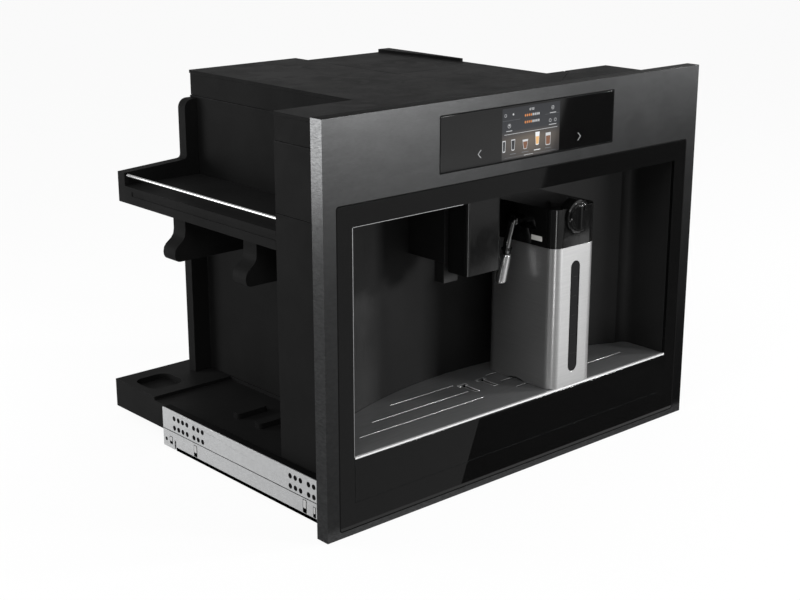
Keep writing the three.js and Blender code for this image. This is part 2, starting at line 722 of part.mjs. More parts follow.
function addCoffeeSpout() {
  const body = prism('z', roundedOutline(
    [SPOUT_LEFT, SPOUT_RIGHT],
    [SPOUT_FRONT, SPOUT_REAR],
    SPOUT_CORNER,
  ), SPOUT_BOTTOM, SPOUT_TOP, 3);
  const hollow = block(
    [SPOUT_LEFT + SPOUT_WALL, SPOUT_RIGHT - SPOUT_WALL],
    [SPOUT_FRONT + SPOUT_WALL, SPOUT_REAR - SPOUT_WALL],
    [SPOUT_BOTTOM - OVER, SPOUT_BOTTOM + SPOUT_HOLLOW],
  );
  const tongue = block(
    [SPOUT_X - TONGUE_WIDTH / 2, SPOUT_X + TONGUE_WIDTH / 2],
    [SPOUT_REAR - SPOUT_WALL, SPOUT_REAR + TONGUE_DEPTH],
    [GUIDE_BOTTOM, SPOUT_TOP],
  );
  const nozzles = [-1, 1].map((side) => rod(
    'z',
    [SPOUT_X + (side * NOZZLE_SPREAD) / 2, (SPOUT_FRONT + SPOUT_REAR) / 2],
    NOZZLE_RADIUS,
    SPOUT_BOTTOM + NOZZLE_INSET,
    SPOUT_BOTTOM + SPOUT_HOLLOW + OVER,
    12,
  ));
  addPiece('coffee_spout', join([body.subtract(hollow), tongue, ...nozzles]), 'glossBlack');
}

function addHotWaterOutlet() {
  const left = SPOUT_X - GUIDE_WIDTH / 2;
  const top = GUIDE_BOTTOM - FIT;
  const outlet = block(
    [left, left + OUTLET_WIDTH],
    [GUIDE_FRONT + RUN, GUIDE_FRONT + RUN + OUTLET_DEPTH],
    [top - OUTLET_HEIGHT, top],
  );
  const bore = rod(
    'z',
    [left + OUTLET_WIDTH / 2, GUIDE_FRONT + RUN + OUTLET_DEPTH / 2],
    NOZZLE_RADIUS / 2,
    top - OUTLET_HEIGHT - OVER,
    top - OUTLET_HEIGHT / 2,
    10,
  );
  addPiece('hot_water_outlet', outlet.subtract(bore), 'satinBlack');
}

// ---------------------------------------------------------------- milk carafe
function addSteamConnector() {
  const stub = rod('y', [CARAFE_X, ARM_Z], STEAM_RADIUS, CARAFE_DEPTH + FIT, NICHE_DEPTH);
  const room = nicheFill(-FIT, 0, ARM_Z - 2 * STEAM_RADIUS, ARM_Z + 2 * STEAM_RADIUS);
  addPiece('steam_connector', stub.intersect(room), 'satinBlack');
}

/** Tall opening with round ends for the sight window. */
function windowOutline(shrink) {
  const half = WINDOW_WIDTH / 2 - shrink;
  return roundedOutline(
    [CARAFE_X - half, CARAFE_X + half],
    [CARAFE_BOTTOM + WINDOW_FOOT + shrink, CARAFE_STEEL_TOP - WINDOW_HEAD - shrink],
    half - FIT / 10,
  );
}

function addMilkCarafe() {
  const body = prism('z', carafePlan(0), CARAFE_BOTTOM, CARAFE_STEEL_TOP);
  const inside = prism('z', carafePlan(CARAFE_WALL), CARAFE_BOTTOM - OVER, CARAFE_STEEL_TOP + OVER);
  const arch = rod(
    'x',
    [FOOT_ARCH_Y, CARAFE_BOTTOM + FOOT_ARCH_HEIGHT - FOOT_ARCH_RADIUS],
    FOOT_ARCH_RADIUS,
    CARAFE_LEFT - OVER,
    CARAFE_X,
  );
  const window = prism('y', windowOutline(0), -OVER, CARAFE_WALL + OVER);
  addPiece('milk_carafe', cut(body, [inside, arch, window]), 'brushedSteel');
  const floor = prism('z', carafePlan(CARAFE_WALL + FIT), CARAFE_BOTTOM + CARAFE_FOOT, CARAFE_INSIDE);
  addPiece('carafe_floor', floor, 'brushedSteel');
  const pane = prism('y', windowOutline(FIT), FIT, FIT + WINDOW_THICK);
  addPiece('sight_window', pane, 'clearGlass');
}

function addCarafeLid() {
  const body = prism('z', carafePlan(0), LID_BOTTOM, LID_TOP);
  const hollow = block(
    [CARAFE_LEFT + ARM_POCKET + LID_WALL, CARAFE_RIGHT - LID_WALL],
    [KNOB_DEPTH + FIT + LID_WALL, CARAFE_DEPTH - LID_WALL],
    [LID_BOTTOM - OVER, LID_TOP - LID_WALL],
  );
  const knobPocket = rod('y', [CARAFE_X, KNOB_Z], KNOB_RADIUS + RUN, -OVER, KNOB_DEPTH + FIT, 28);
  const armPocket = block(
    [CARAFE_LEFT - OVER, CARAFE_LEFT + ARM_POCKET],
    [ARM_Y - 4 * ARM_RADIUS, ARM_Y + ARM_RADIUS + RUN],
    [ARM_Z - ARM_RADIUS - RUN, ARM_Z + ARM_RADIUS + RUN],
  );
  addPiece('carafe_lid', cut(body, [hollow, knobPocket, armPocket]), 'glossBlack');
}

function addFrothKnob() {
  const skirt = rod('y', [CARAFE_X, KNOB_Z], KNOB_RADIUS, -KNOB_SKIRT, KNOB_DEPTH, 28);
  const grip = prism('y', roundedOutline(
    [CARAFE_X - KNOB_GRIP_WIDTH / 2, CARAFE_X + KNOB_GRIP_WIDTH / 2],
    [KNOB_Z - KNOB_GRIP_LENGTH / 2, KNOB_Z + KNOB_GRIP_LENGTH / 2],
    KNOB_GRIP_WIDTH / 3,
  ), -KNOB_PROUD, 0, 3);
  addPiece('froth_knob', skirt.add(grip), 'glossBlack');
}

/** Points down the bent milk tube, from the arm to the top of the tip. */
function milkTubeRoute() {
  const start = CARAFE_LEFT - ARM_REACH;
  return [
    [start + ARM_REACH, ARM_Y, ARM_Z],
    [start, ARM_Y, ARM_Z - MILK_TUBE_RADIUS / 2],
    [start - MILK_TUBE_RADIUS, ARM_Y, ARM_Z - 3 * MILK_TUBE_RADIUS],
    [start - 2 * MILK_TUBE_RADIUS, ARM_Y, ARM_Z - 6 * MILK_TUBE_RADIUS],
    [start - 2.5 * MILK_TUBE_RADIUS, ARM_Y, ARM_Z - 9 * MILK_TUBE_RADIUS],
  ];
}

function addMilkSpout() {
  const arm = rod(
    'x',
    [ARM_Y, ARM_Z],
    ARM_RADIUS,
    CARAFE_LEFT - ARM_REACH,
    CARAFE_LEFT + ARM_POCKET - FIT,
    16,
  );
  const route = milkTubeRoute();
  addPiece('milk_spout', arm.add(sweep(route, MILK_TUBE_RADIUS)), 'chrome');
  const [x, y, z] = route[route.length - 1];
  const lean = MILK_TUBE_RADIUS * 2;
  const tip = sweep([[x, y, z - FIT], [x - lean, y, z - FIT - TIP_LENGTH]], TIP_RADIUS, 14, 1);
  addPiece('milk_spout_tip', tip, 'brushedSteel');
}

function addPickupTube() {
  const top = LID_TOP - LID_WALL - FIT;
  const bottom = CARAFE_INSIDE + PICKUP_GAP;
  const tube = rod('z', [CARAFE_X, ARM_Y], PICKUP_RADIUS, bottom, top, 12);
  const bore = rod('z', [CARAFE_X, ARM_Y], PICKUP_RADIUS / 2, bottom - OVER, top + OVER, 8);
  addPiece('milk_pickup_tube', tube.subtract(bore), 'milkWhite');
}

// ---------------------------------------------------------------- housing and base
function addFrontHousing() {
  const across = [-HOUSING_HALF, HOUSING_HALF];
  const inner = [-HOUSING_INNER, HOUSING_INNER];
  const hollowDepth = [HOUSING_FRONT - OVER, HOUSING_REAR - HOUSING_WALL];
  const lowerTop = HOUSING_SEAM - FIT;
  const bulge = nicheFill(LINER_WALL + FIT + HOUSING_WALL, 0, BODY_BOTTOM, lowerTop)
    .intersect(block([-NICHE_HALF / 2, NICHE_HALF / 2], [HOUSING_REAR - OVER, BASE_REAR], [0, FRAME_HEIGHT]));
  const lower = block(across, [HOUSING_FRONT, HOUSING_REAR], [BODY_BOTTOM, lowerTop]).add(bulge);
  addPiece('lower_front_housing', cut(lower, [
    block(inner, hollowDepth, [0, FRAME_HEIGHT]),
    nicheFill(LINER_WALL + FIT, 0, 0, FRAME_HEIGHT),
  ]), 'bodyPlastic');
  const upper = block(across, [HOUSING_FRONT, HOUSING_REAR], [HOUSING_SEAM, PANEL_TOP]);
  addPiece('upper_front_housing', cut(upper, [
    block(inner, hollowDepth, [0, FRAME_HEIGHT]),
    nicheFill(LINER_WALL + FIT, 0, 0, NICHE_TOP + LINER_WALL + FIT),
  ]), 'bodyPlastic');
}

/** Finger well in the rear deck of the left bay. */
function fingerWell() {
  const left = -HOUSING_HALF + WELL_FROM_SIDE;
  const rear = BASE_REAR - WELL_FROM_REAR;
  const plan = roundedOutline([left, left + WELL_WIDTH], [rear - WELL_LENGTH, rear], WELL_CORNER);
  return prism('z', plan, BASE_TOP - WELL_DEPTH, BASE_TOP + OVER);
}

/** Middle of the valve seat that the water tank stands over. */
function seatCentre() {
  return [(TANK_LEFT + TANK_RIGHT) / 2, (TANK_FRONT + DECK_STEP_Y) / 2];
}

/** The two locating ribs on the low deck of the left bay. */
function deckRibs() {
  return [0, 1].map((index) => {
    const left = -HOUSING_HALF + RIB_FROM_SIDE;
    const front = RIB_Y + index * RIB_PITCH;
    const plan = roundedOutline([left, left + RIB_LENGTH], [front, front + RIB_WIDTH], RIB_WIDTH / 3);
    return prism('z', plan, DECK_LOW - OVER, DECK_LOW + RIB_HEIGHT, 2);
  });
}

function addBaseTray() {
  const half = HOUSING_HALF;
  const inner = half - MOULDING;
  const pocketFloor = NICHE_BOTTOM - LINER_WALL - FIT;
  const voidRear = NICHE_DEPTH + 2 * HOUSING_WALL;
  const outer = block([-half, half], [HOUSING_FRONT, BASE_REAR], [BASE_BOTTOM, BASE_TOP]);
  const body = cut(outer, [
    nicheFill(LINER_WALL + FIT, 0, pocketFloor, BASE_TOP + OVER),
    block(
      [-inner, inner],
      [HOUSING_FRONT + MOULDING, voidRear],
      [BASE_BOTTOM - OVER, pocketFloor - MOULDING],
    ),
    block(
      [-inner, inner],
      [voidRear + MOULDING, BASE_REAR - MOULDING],
      [BASE_BOTTOM - OVER, BASE_VOID_TOP],
    ),
    block([-half - OVER, -LOWER_LEFT - FIT], [PANEL_FRONT, DECK_STEP_Y], [DECK_LOW, BASE_TOP + OVER]),
    block([BODY_RIGHT + FIT, half + OVER], [PANEL_FRONT, DECK_STEP_Y], [DECK_LOW, BASE_TOP + OVER]),
    block(
      [-half - OVER, -half + EDGE_NOTCH_WIDTH],
      [PANEL_FRONT, EDGE_NOTCH_Y],
      [DECK_LOW - EDGE_NOTCH_DEPTH, BASE_TOP + OVER],
    ),
    fingerWell(),
  ]);
  const seat = rod('z', seatCentre(), SEAT_RADIUS, DECK_LOW - OVER, DECK_LOW + SEAT_HEIGHT);
  addPiece('base_tray', join([body, ...deckRibs(), seat]), 'bodyPlastic');
}

// ---------------------------------------------------------------- body
/** Plan of the top cover, drawn smaller by inset along every edge. */
function coverPlan(inset) {
  const seamX = CAP_SEAM_X - inset;
  return outlineOf([
    [-HOUSING_HALF + inset, HOUSING_FRONT + inset],
    [seamX, HOUSING_FRONT + inset],
    [seamX, CAP_SEAM_Y + inset / 2],
    [CAP_TAB_X - inset, CAP_TAB_Y + inset / 2],
    [CAP_TAB_X - inset, HOUSING_REAR - inset],
    [BODY_RIGHT - inset, HOUSING_REAR - inset],
    [BODY_RIGHT - inset, LID_FRONT - inset],
    [REAR_STEP_X - inset, LID_FRONT - inset],
    [REAR_STEP_X - inset, BODY_REAR - inset],
    [-BODY_LEFT + inset, BODY_REAR - inset],
    [-BODY_LEFT + inset, HOUSING_REAR - inset],
    [-HOUSING_HALF + inset, HOUSING_REAR - inset],
  ]);
}

/** Plan of the right cap, drawn smaller by inset along every edge. */
function capPlan(inset) {
  const seamX = CAP_SEAM_X + RUN + inset;
  return outlineOf([
    [seamX, HOUSING_FRONT + inset],
    [HOUSING_HALF - inset, HOUSING_FRONT + inset],
    [HOUSING_HALF - inset, HOUSING_REAR - inset],
    [CAP_TAB_X + RUN + inset + CAP_NOTCH, HOUSING_REAR - inset],
    [CAP_TAB_X + RUN + inset, CAP_TAB_Y - inset / 2],
    [seamX, CAP_SEAM_Y - inset / 2],
  ]);
}

/** Lid-like cover: a plate with a lip over a skirt that hangs from it. */
function skirtedPlate(plan) {
  const underside = COVER_TOP - COVER_PLATE;
  const plate = prism('z', plan(0), underside, COVER_TOP);
  const skirt = prism('z', plan(COVER_LIP), SKIRT_BOTTOM, underside + OVER);
  const hollow = prism('z', plan(COVER_LIP + MOULDING), SKIRT_BOTTOM - OVER, underside);
  return plate.add(skirt).subtract(hollow);
}

function addTopCover() {
  addPiece('top_cover', skirtedPlate(coverPlan), 'bodyPlastic');
  addPiece('right_top_cap', skirtedPlate(capPlan), 'bodyPlastic');
}

function addSidePanels() {
  const shelfTop = SHELF_BOTTOM - FIT;
  const left = join([
    block([-LOWER_LEFT, -LEFT_INNER], [PANEL_FRONT, BODY_REAR], [BODY_BOTTOM, PANEL_TOP]),
    block([-BODY_LEFT, -LEFT_INNER], [PANEL_FRONT, BODY_REAR], [shelfTop, PANEL_TOP]),
    block(
      [-BODY_LEFT - POST_REACH, -LEFT_INNER],
      [BODY_REAR - REAR_POST, BODY_REAR],
      [BODY_BOTTOM, shelfTop],
    ),
  ]);
  addPiece('left_side_panel', left, 'bodyPlastic');
  const plate = block([RIGHT_INNER, BODY_RIGHT], [PANEL_FRONT, STEP_REAR], [BODY_BOTTOM, PANEL_TOP]);
  const openings = [[0, GROUNDS_TOP], [BREW_BOTTOM, SERVICE_TOP]].map(([low, high]) => block(
    [RIGHT_INNER - OVER, BODY_RIGHT + OVER],
    [SERVICE_FRONT, SERVICE_REAR],
    [low, high],
  ));
  addPiece('right_side_panel', cut(plate, openings), 'bodyPlastic');
}

function addRearPanel() {
  const left = -LEFT_INNER + FIT;
  const right = RIGHT_INNER - FIT;
  const wall = PANEL_WALL;
  const sheet = prism('z', outlineOf([
    [left, BODY_REAR - wall],
    [REAR_STEP_X - wall, BODY_REAR - wall],
    [REAR_STEP_X - wall, STEP_REAR - wall],
    [right, STEP_REAR - wall],
    [right, STEP_REAR],
    [REAR_STEP_X, STEP_REAR],
    [REAR_STEP_X, BODY_REAR],
    [left, BODY_REAR],
  ]), BODY_BOTTOM, PANEL_TOP);
  const hole = block(
    [INLET_LEFT + INLET_FLANGE, INLET_LEFT + INLET_WIDTH - INLET_FLANGE],
    [STEP_REAR, BODY_REAR + OVER],
    [INLET_BOTTOM + INLET_FLANGE, INLET_BOTTOM + INLET_HEIGHT - INLET_FLANGE],
  );
  addPiece('rear_panel', sheet.subtract(hole), 'bodyPlastic');
}

function addMainsInlet() {
  const outside = BODY_REAR + FIT;
  const back = outside + INLET_THICK;
  const lowZ = INLET_BOTTOM + INLET_FLANGE + FIT;
  const highZ = INLET_BOTTOM + INLET_HEIGHT - INLET_FLANGE - FIT;
  const lowX = INLET_LEFT + INLET_FLANGE + FIT;
  const highX = INLET_LEFT + INLET_WIDTH - INLET_FLANGE - FIT;
  const midZ = INLET_BOTTOM + INLET_HEIGHT / 2;
  const flange = block(
    [INLET_LEFT, INLET_LEFT + INLET_WIDTH],
    [outside, back],
    [INLET_BOTTOM, INLET_BOTTOM + INLET_HEIGHT],
  );
  const body = block([lowX, highX], [outside - INLET_BODY_DEPTH, back], [lowZ, highZ]);
  const socket = block(
    [lowX + MOULDING, lowX + MOULDING + SOCKET_WIDTH],
    [outside - INLET_BODY_DEPTH + MOULDING, back + OVER],
    [midZ - SOCKET_HEIGHT / 2, midZ + SOCKET_HEIGHT / 2],
  );
  const rockerX = highX - MOULDING - ROCKER_WIDTH;
  const rockerPocket = block(
    [rockerX, rockerX + ROCKER_WIDTH],
    [back - 2 * ROCKER_DEPTH, back + OVER],
    [midZ - ROCKER_HEIGHT / 2 - RUN, midZ + ROCKER_HEIGHT / 2 + RUN],
  );
  addPiece('mains_inlet', cut(flange.add(body), [socket, rockerPocket]), 'darkPlastic');
  const rocker = prism('x', outlineOf([
    [back - ROCKER_DEPTH, midZ - ROCKER_HEIGHT / 3],
    [back, midZ - ROCKER_HEIGHT / 2 + RUN],
    [back + 1, midZ],
    [back, midZ + ROCKER_HEIGHT / 2 - RUN],
    [back - ROCKER_DEPTH, midZ + ROCKER_HEIGHT / 3],
  ]), rockerX + FIT, rockerX + ROCKER_WIDTH - FIT);
  addPiece('power_switch', rocker, 'glossBlack');
}

// ---------------------------------------------------------------- left bay
/** Rear wall of the shelf seen from the front: a rising rim that turns up into the fin. */
function shelfBackOutline() {
  const right = -BODY_LEFT - FIT;
  const finLeft = -BODY_LEFT - POST_REACH;
  const rimEnd = SHELF_RIM + SHELF_RIM_RISE;
  const shape = new THREE.Shape();
  shape.moveTo(-HOUSING_HALF, SHELF_BOTTOM);
  shape.lineTo(right, SHELF_BOTTOM);
  shape.lineTo(right, FIN_TOP);
  shape.lineTo(finLeft + FIN_RADIUS, FIN_TOP);
  shape.absarc(finLeft + FIN_RADIUS, FIN_TOP - FIN_RADIUS, FIN_RADIUS, Math.PI / 2, Math.PI);
  shape.lineTo(finLeft, rimEnd + FIN_RADIUS / 2);
  shape.quadraticCurveTo(finLeft, rimEnd, finLeft - FIN_RADIUS / 2, rimEnd);
  shape.lineTo(-HOUSING_HALF, SHELF_RIM);
  return shape;
}

function addStorageShelf() {
  const left = -HOUSING_HALF;
  const right = -BODY_LEFT - FIT;
  const rodX = left + ROD_FROM_SIDE;
  const postFront = BODY_REAR - REAR_POST;
  const tray = join([
    block([left, right], [PANEL_FRONT, BODY_REAR], [SHELF_BOTTOM, SHELF_FLOOR]),
    prism('y', shelfBackOutline(), postFront, BODY_REAR, 4),
  ]);
  addPiece('storage_shelf', cut(tray, [
    block(
      [left + MOULDING, right - MOULDING],
      [PANEL_FRONT + MOULDING, postFront],
      [SHELF_BOTTOM - OVER, SHELF_FLOOR - SHELF_PLATE],
    ),
    block(
      [left - OVER, left + GROOVE_DEPTH],
      [PANEL_FRONT - OVER, postFront - REAR_POST],
      [SHELF_BOTTOM + GROOVE_UP, SHELF_BOTTOM + GROOVE_UP + GROOVE_HEIGHT],
    ),
    rod('y', [rodX, ROD_Z], ROD_RADIUS + FIT, postFront - OVER, postFront + ROD_SOCKET, 10),
  ]), 'bodyPlastic');
  const rail = rod('y', [rodX, ROD_Z], ROD_RADIUS, PANEL_FRONT, postFront + ROD_SOCKET - FIT, 12);
  addPiece('shelf_rail', rail, 'chrome');
}

/** Corbel outline of a cord hook seen from the front: neck, curl and nose. */
function hookOutline() {
  const nose = -HOUSING_HALF;
  const neck = nose + HOOK_NECK;
  const curl = HOOK_HEIGHT / 2;
  const shape = new THREE.Shape();
  shape.moveTo(neck, HOOK_TOP);
  shape.lineTo(neck, HOOK_BOTTOM + 1.3 * curl);
  shape.bezierCurveTo(
    neck,
    HOOK_BOTTOM + 0.75 * curl,
    nose,
    HOOK_BOTTOM + 0.85 * curl,
    nose,
    HOOK_BOTTOM + 0.35 * curl,
  );
  shape.quadraticCurveTo(nose, HOOK_BOTTOM, nose + HOOK_NECK / 2, HOOK_BOTTOM);
  shape.lineTo(-LOWER_LEFT - FIT, HOOK_BOTTOM);
  shape.lineTo(-LOWER_LEFT - FIT, HOOK_TOP);
  return shape;
}

function addCordHooks() {
  const places = { front_cord_hook: HOOK_FRONT_Y, rear_cord_hook: HOOK_REAR_Y };
  for (const [name, y] of Object.entries(places)) {
    addPiece(name, prism('y', hookOutline(), y, y + HOOK_THICK, 6), 'bodyPlastic');
  }
}

// ---------------------------------------------------------------- runners
/** Distances from the front of evenly pitched holes with a wider gap after the first few. */
function holeGroup(start, first, count) {
  return Array.from({ length: count }, (_, i) => start + i * HOLE_PITCH + (i < first ? 0 : HOLE_GROUP_GAP));
}

/** Distances from the front of the screw holes along one row of a runner. */
function holeRow() {
  return [
    ...holeGroup(HOLE_FRONT_Y, HOLES_FRONT_FIRST, HOLES_FRONT),
    ...holeGroup(HOLE_REAR_Y, HOLES_REAR_FIRST, HOLES_REAR),
  ];
}

/** Channel of folded steel whose open side faces the machine, for the left or right side. */
function channel(side, outer, inner, [front, rear], [bottom, top]) {
  const body = block([outer, inner], [front, rear], [bottom, top]);
  const hollow = block(
    [outer + RUNNER_SHEET, inner + OVER],
    [front - OVER, rear + OVER],
    [bottom + RUNNER_SHEET, top - RUNNER_SHEET],
  );
  const whole = body.subtract(hollow);
  return side < 0 ? whole : whole.mirror([1, 0, 0]);
}

function addRunner(side, label) {
  const rear = RUNNER_FRONT + RUNNER_LENGTH;
  const outer = -RUNNER_OUTER;
  const machineSide = -HOUSING_HALF - FIT;
  const slideOuter = outer + RUNNER_SHEET + RUN;
  const barOuter = slideOuter + RUNNER_SHEET + RUN;
  const inset = RUNNER_SHEET + RUNNER_NEST;
  const heights = [RUNNER_BOTTOM, RUNNER_TOP];
  const screwHoles = holeRow().flatMap((y) => [HOLE_LOW_Z, HOLE_HIGH_Z].map((z) => rod(
    'x',
    [y, z],
    HOLE_RADIUS,
    side < 0 ? outer - OVER : -outer - RUNNER_SHEET - OVER,
    side < 0 ? outer + RUNNER_SHEET + OVER : -outer + OVER,
    6,
  )));
  const tabCut = block(
    [outer - OVER, outer + RUNNER_SHEET + RUN],
    [rear - RUNNER_TAB - HOLE_RADIUS, rear - RUNNER_TAB],
    [RUNNER_BOTTOM - OVER, HOLE_LOW_Z / 2],
  );
  const fixed = channel(side, outer, machineSide - 2, [RUNNER_FRONT, rear], heights);
  const notch = side < 0 ? tabCut : tabCut.mirror([1, 0, 0]);
  addPiece(`${label}_cabinet_runner`, cut(fixed, [...screwHoles, notch]), 'zinc');
  const slide = channel(
    side,
    slideOuter,
    machineSide - 2,
    [RUNNER_FRONT, rear],
    [RUNNER_BOTTOM + inset, RUNNER_TOP - inset],
  );
  addPiece(`${label}_middle_runner`, slide, 'zinc');
  const bar = block(
    [barOuter, machineSide],
    [RUNNER_FRONT, rear],
    [RUNNER_BOTTOM + 2 * inset, RUNNER_TOP - 2 * inset],
  );
  const lightening = block(
    [barOuter + RUNNER_SHEET, machineSide + OVER],
    [RUNNER_FRONT - OVER, rear + OVER],
    [RUNNER_BOTTOM + 2 * inset + RUNNER_SHEET, RUNNER_TOP - 2 * inset - RUNNER_SHEET],
  );
  const inner = bar.subtract(lightening);
  addPiece(`${label}_machine_runner`, side < 0 ? inner : inner.mirror([1, 0, 0]), 'zinc');
}

// ---------------------------------------------------------------- bean hopper and lid
function hopperPlan(inset) {
  return {
    x: [REAR_STEP_X + FIT + inset, BODY_RIGHT - FIT - inset],
    y: [LID_FRONT + FIT + inset, STEP_REAR - FIT - inset],
  };
}

function addBeanHopper() {
  const outside = hopperPlan(0);
  const inside = hopperPlan(HOPPER_WALL);
  const rimTop = COVER_TOP - COVER_PLATE - FIT;
  const beanX = [outside.x[0] + DIAL_SIDE, inside.x[1] - BEAN_MARGIN];
  const beanY = [inside.y[0] + BEAN_MARGIN, inside.y[1] - BEAN_MARGIN];
  const throatX = [GRINDER_X - HOPPER_THROAT, GRINDER_X + HOPPER_THROAT];
  const throatY = [GRINDER_Y - HOPPER_THROAT, GRINDER_Y + HOPPER_THROAT];
  const grow = ([low, high], by) => [low - by, high + by];
  const rim = block(outside.x, outside.y, [SKIRT_BOTTOM, rimTop]);
  const well = block(inside.x, inside.y, [HOPPER_DECK, rimTop + OVER]);
  const under = block(inside.x, inside.y, [SKIRT_BOTTOM - OVER, HOPPER_DECK - HOPPER_WALL]);
  const funnel = taper(
    grow(throatX, HOPPER_WALL),
    grow(throatY, HOPPER_WALL),
    HOPPER_END,
    grow(beanX, HOPPER_WALL),
    grow(beanY, HOPPER_WALL),
    HOPPER_DECK,
  );
  const beans = taper(throatX, throatY, HOPPER_END, beanX, beanY, HOPPER_DECK);
  const throat = block(throatX, throatY, [HOPPER_END - OVER, HOPPER_END + OVER]);
  const mouth = block(beanX, beanY, [HOPPER_DECK - FIT, HOPPER_DECK + OVER]);
  const dialHole = rod('z', dialCentre(), DIAL_RADIUS / 2 + RUN, SKIRT_BOTTOM, COVER_TOP);
  const frame = cut(rim, [well, under, dialHole]);
  addPiece('bean_hopper', cut(frame.add(funnel), [beans, throat, mouth]), 'smoke');
}

/** Middle of the grind dial, on the strip beside the beans. */
function dialCentre() {
  return [REAR_STEP_X + DIAL_SIDE / 2, (LID_FRONT + STEP_REAR) / 2];
}

function addGrindDial() {
  const bottom = HOPPER_DECK + FIT;
  const cap = rod('z', dialCentre(), DIAL_RADIUS, bottom, bottom + DIAL_HEIGHT, 24);
  const stem = rod('z', dialCentre(), DIAL_RADIUS / 2, SKIRT_BOTTOM, bottom + OVER, 16);
  addPiece('grind_dial', cap.add(stem), 'darkPlastic');
}

function addBeanLid() {
  const bottom = COVER_TOP - COVER_PLATE;
  const { x, y } = hopperPlan(0);
  const plate = block([x[0], BODY_RIGHT], [y[0], STEP_REAR], [bottom, COVER_TOP]);
  const grip = prism('z', outlineOf([
    [BODY_RIGHT, STEP_REAR],
    [BODY_RIGHT - LID_GRIP_WIDTH, STEP_REAR],
    [BODY_RIGHT - LID_GRIP_WIDTH / 5, STEP_REAR - LID_GRIP_LENGTH],
    [BODY_RIGHT, STEP_REAR - LID_GRIP_LENGTH],
  ]), bottom + 1, COVER_TOP + LID_GRIP_HEIGHT);
  addPiece('bean_lid', plate.add(grip), 'bodyPlastic');
}

// ---------------------------------------------------------------- grinder
function addGrinder() {
  const centre = [GRINDER_X, GRINDER_Y];
  const floor = GRINDER_END + GRINDER_FLOOR;
  const pot = rod('z', centre, GRINDER_RADIUS, GRINDER_END, GRINDER_TOP, 28);
  const bore = rod('z', centre, GRINDER_BORE, floor, GRINDER_TOP + OVER, 28);
  const shaftHole = rod('z', centre, BURR_SHAFT + RUN, GRINDER_END - OVER, floor + OVER, 12);
  const ledgeTop = MOTOR_END - FIT;
  addPiece('grinder_housing', cut(pot, [bore, shaftHole]), 'darkPlastic');
  const coneBottom = floor + RUN;
  addPiece('lower_burr', turned([
    [0, GRINDER_END + FIT],
    [BURR_SHAFT, GRINDER_END + FIT],
    [BURR_SHAFT, coneBottom],
    [BURR_RADIUS, coneBottom],
    [BURR_TOP_RADIUS, coneBottom + BURR_HEIGHT],
    [0, coneBottom + BURR_HEIGHT],
  ], centre), 'castMetal');
  const ringBottom = coneBottom + BURR_HEIGHT + RUN;
  const ring = rod('z', centre, GRINDER_BORE - RUN, ringBottom, ringBottom + RING_BURR_HEIGHT, 28);
  const ringBore = rod('z', centre, RING_BURR_BORE, ringBottom - OVER, HOPPER_END, 20);
  addPiece('upper_burr', ring.subtract(ringBore), 'castMetal');
  const motor = rod('z', centre, MOTOR_RADIUS, MOTOR_END, MOTOR_END + MOTOR_HEIGHT, 24);
  addPiece('grinder_motor', motor, 'castMetal');
  addBulkhead(ledgeTop);
}

/** Upright wall inside the body with a ledge on each side of it. */
function addBulkhead(motorLedgeTop) {
  const rear = BULKHEAD_Y + PANEL_WALL;
  const wall = block(
    [-LEFT_INNER + FIT, RIGHT_INNER - FIT],
    [BULKHEAD_Y, rear],
    [BODY_BOTTOM, COVER_TOP - BULKHEAD_DROP],
  );
  const motorLedge = block(
    [GRINDER_X - GRINDER_RADIUS, GRINDER_X + GRINDER_RADIUS],
    [BULKHEAD_Y, GRINDER_Y + GRINDER_RADIUS],
    [motorLedgeTop - LEDGE_THICK, motorLedgeTop],
  );
  const boilerLedge = block(
    [BOILER_LEFT, BOILER_LEFT + BOILER_WIDTH],
    [BULKHEAD_Y - BOILER_DEPTH, rear],
    [BOILER_LEDGE - LEDGE_THICK, BOILER_LEDGE],
  );
  addPiece('bulkhead', join([wall, motorLedge, boilerLedge]), 'darkPlastic');
}

// ---------------------------------------------------------------- brewing
function addBrewUnit() {
  const front = SERVICE_FRONT + FIT;
  const rear = SERVICE_REAR - FIT;
  const bottom = BREW_BOTTOM + FIT;
  const top = SERVICE_TOP - FIT;
  const middle = [(BREW_LEFT + BODY_RIGHT) / 2, (SERVICE_FRONT + SERVICE_REAR) / 2];
  const cheekFront = SERVICE_FRONT + CHEEK_MARGIN;
  const cheekRear = SERVICE_REAR - CHEEK_MARGIN;
  const cheek = (y) => block([BREW_LEFT, BODY_RIGHT - OVER], [y, y + CHEEK_THICK], [bottom, top]);
  const bridge = block(
    [BREW_LEFT, BODY_RIGHT - OVER],
    [cheekFront, cheekRear],
    [CYLINDER_FLOOR, CYLINDER_FLOOR + CHEEK_THICK],
  );
  const foot = block([BREW_LEFT, BODY_RIGHT - OVER], [cheekFront, cheekRear], [bottom, bottom + CHEEK_THICK]);
  const cover = block([RIGHT_INNER, BODY_RIGHT], [front, rear], [bottom, top]);
  const bodyParts = join([cover, cheek(cheekFront), cheek(cheekRear - CHEEK_THICK), bridge, foot]);
  const cylinderTop = CYLINDER_FLOOR + CYLINDER_HEIGHT;
  const tube = rod('z', middle, CYLINDER_RADIUS, CYLINDER_FLOOR, cylinderTop, 24);
  const boreRadius = CYLINDER_RADIUS - CYLINDER_WALL;
  const bore = rod('z', middle, boreRadius, CYLINDER_FLOOR - OVER, cylinderTop + OVER, 24);
  addPiece('brew_unit', bodyParts.add(tube).subtract(bore), 'darkPlastic');
  const discBottom = CYLINDER_FLOOR + PISTON_THICK / 2;
  const disc = rod('z', middle, boreRadius - PISTON_PLAY, discBottom, discBottom + PISTON_THICK, 24);
  const stem = rod('z', middle, PISTON_ROD, bottom + CHEEK_THICK + FIT, discBottom + OVER, 16);
  addPiece('brew_piston', disc.add(stem), 'milkWhite');
}

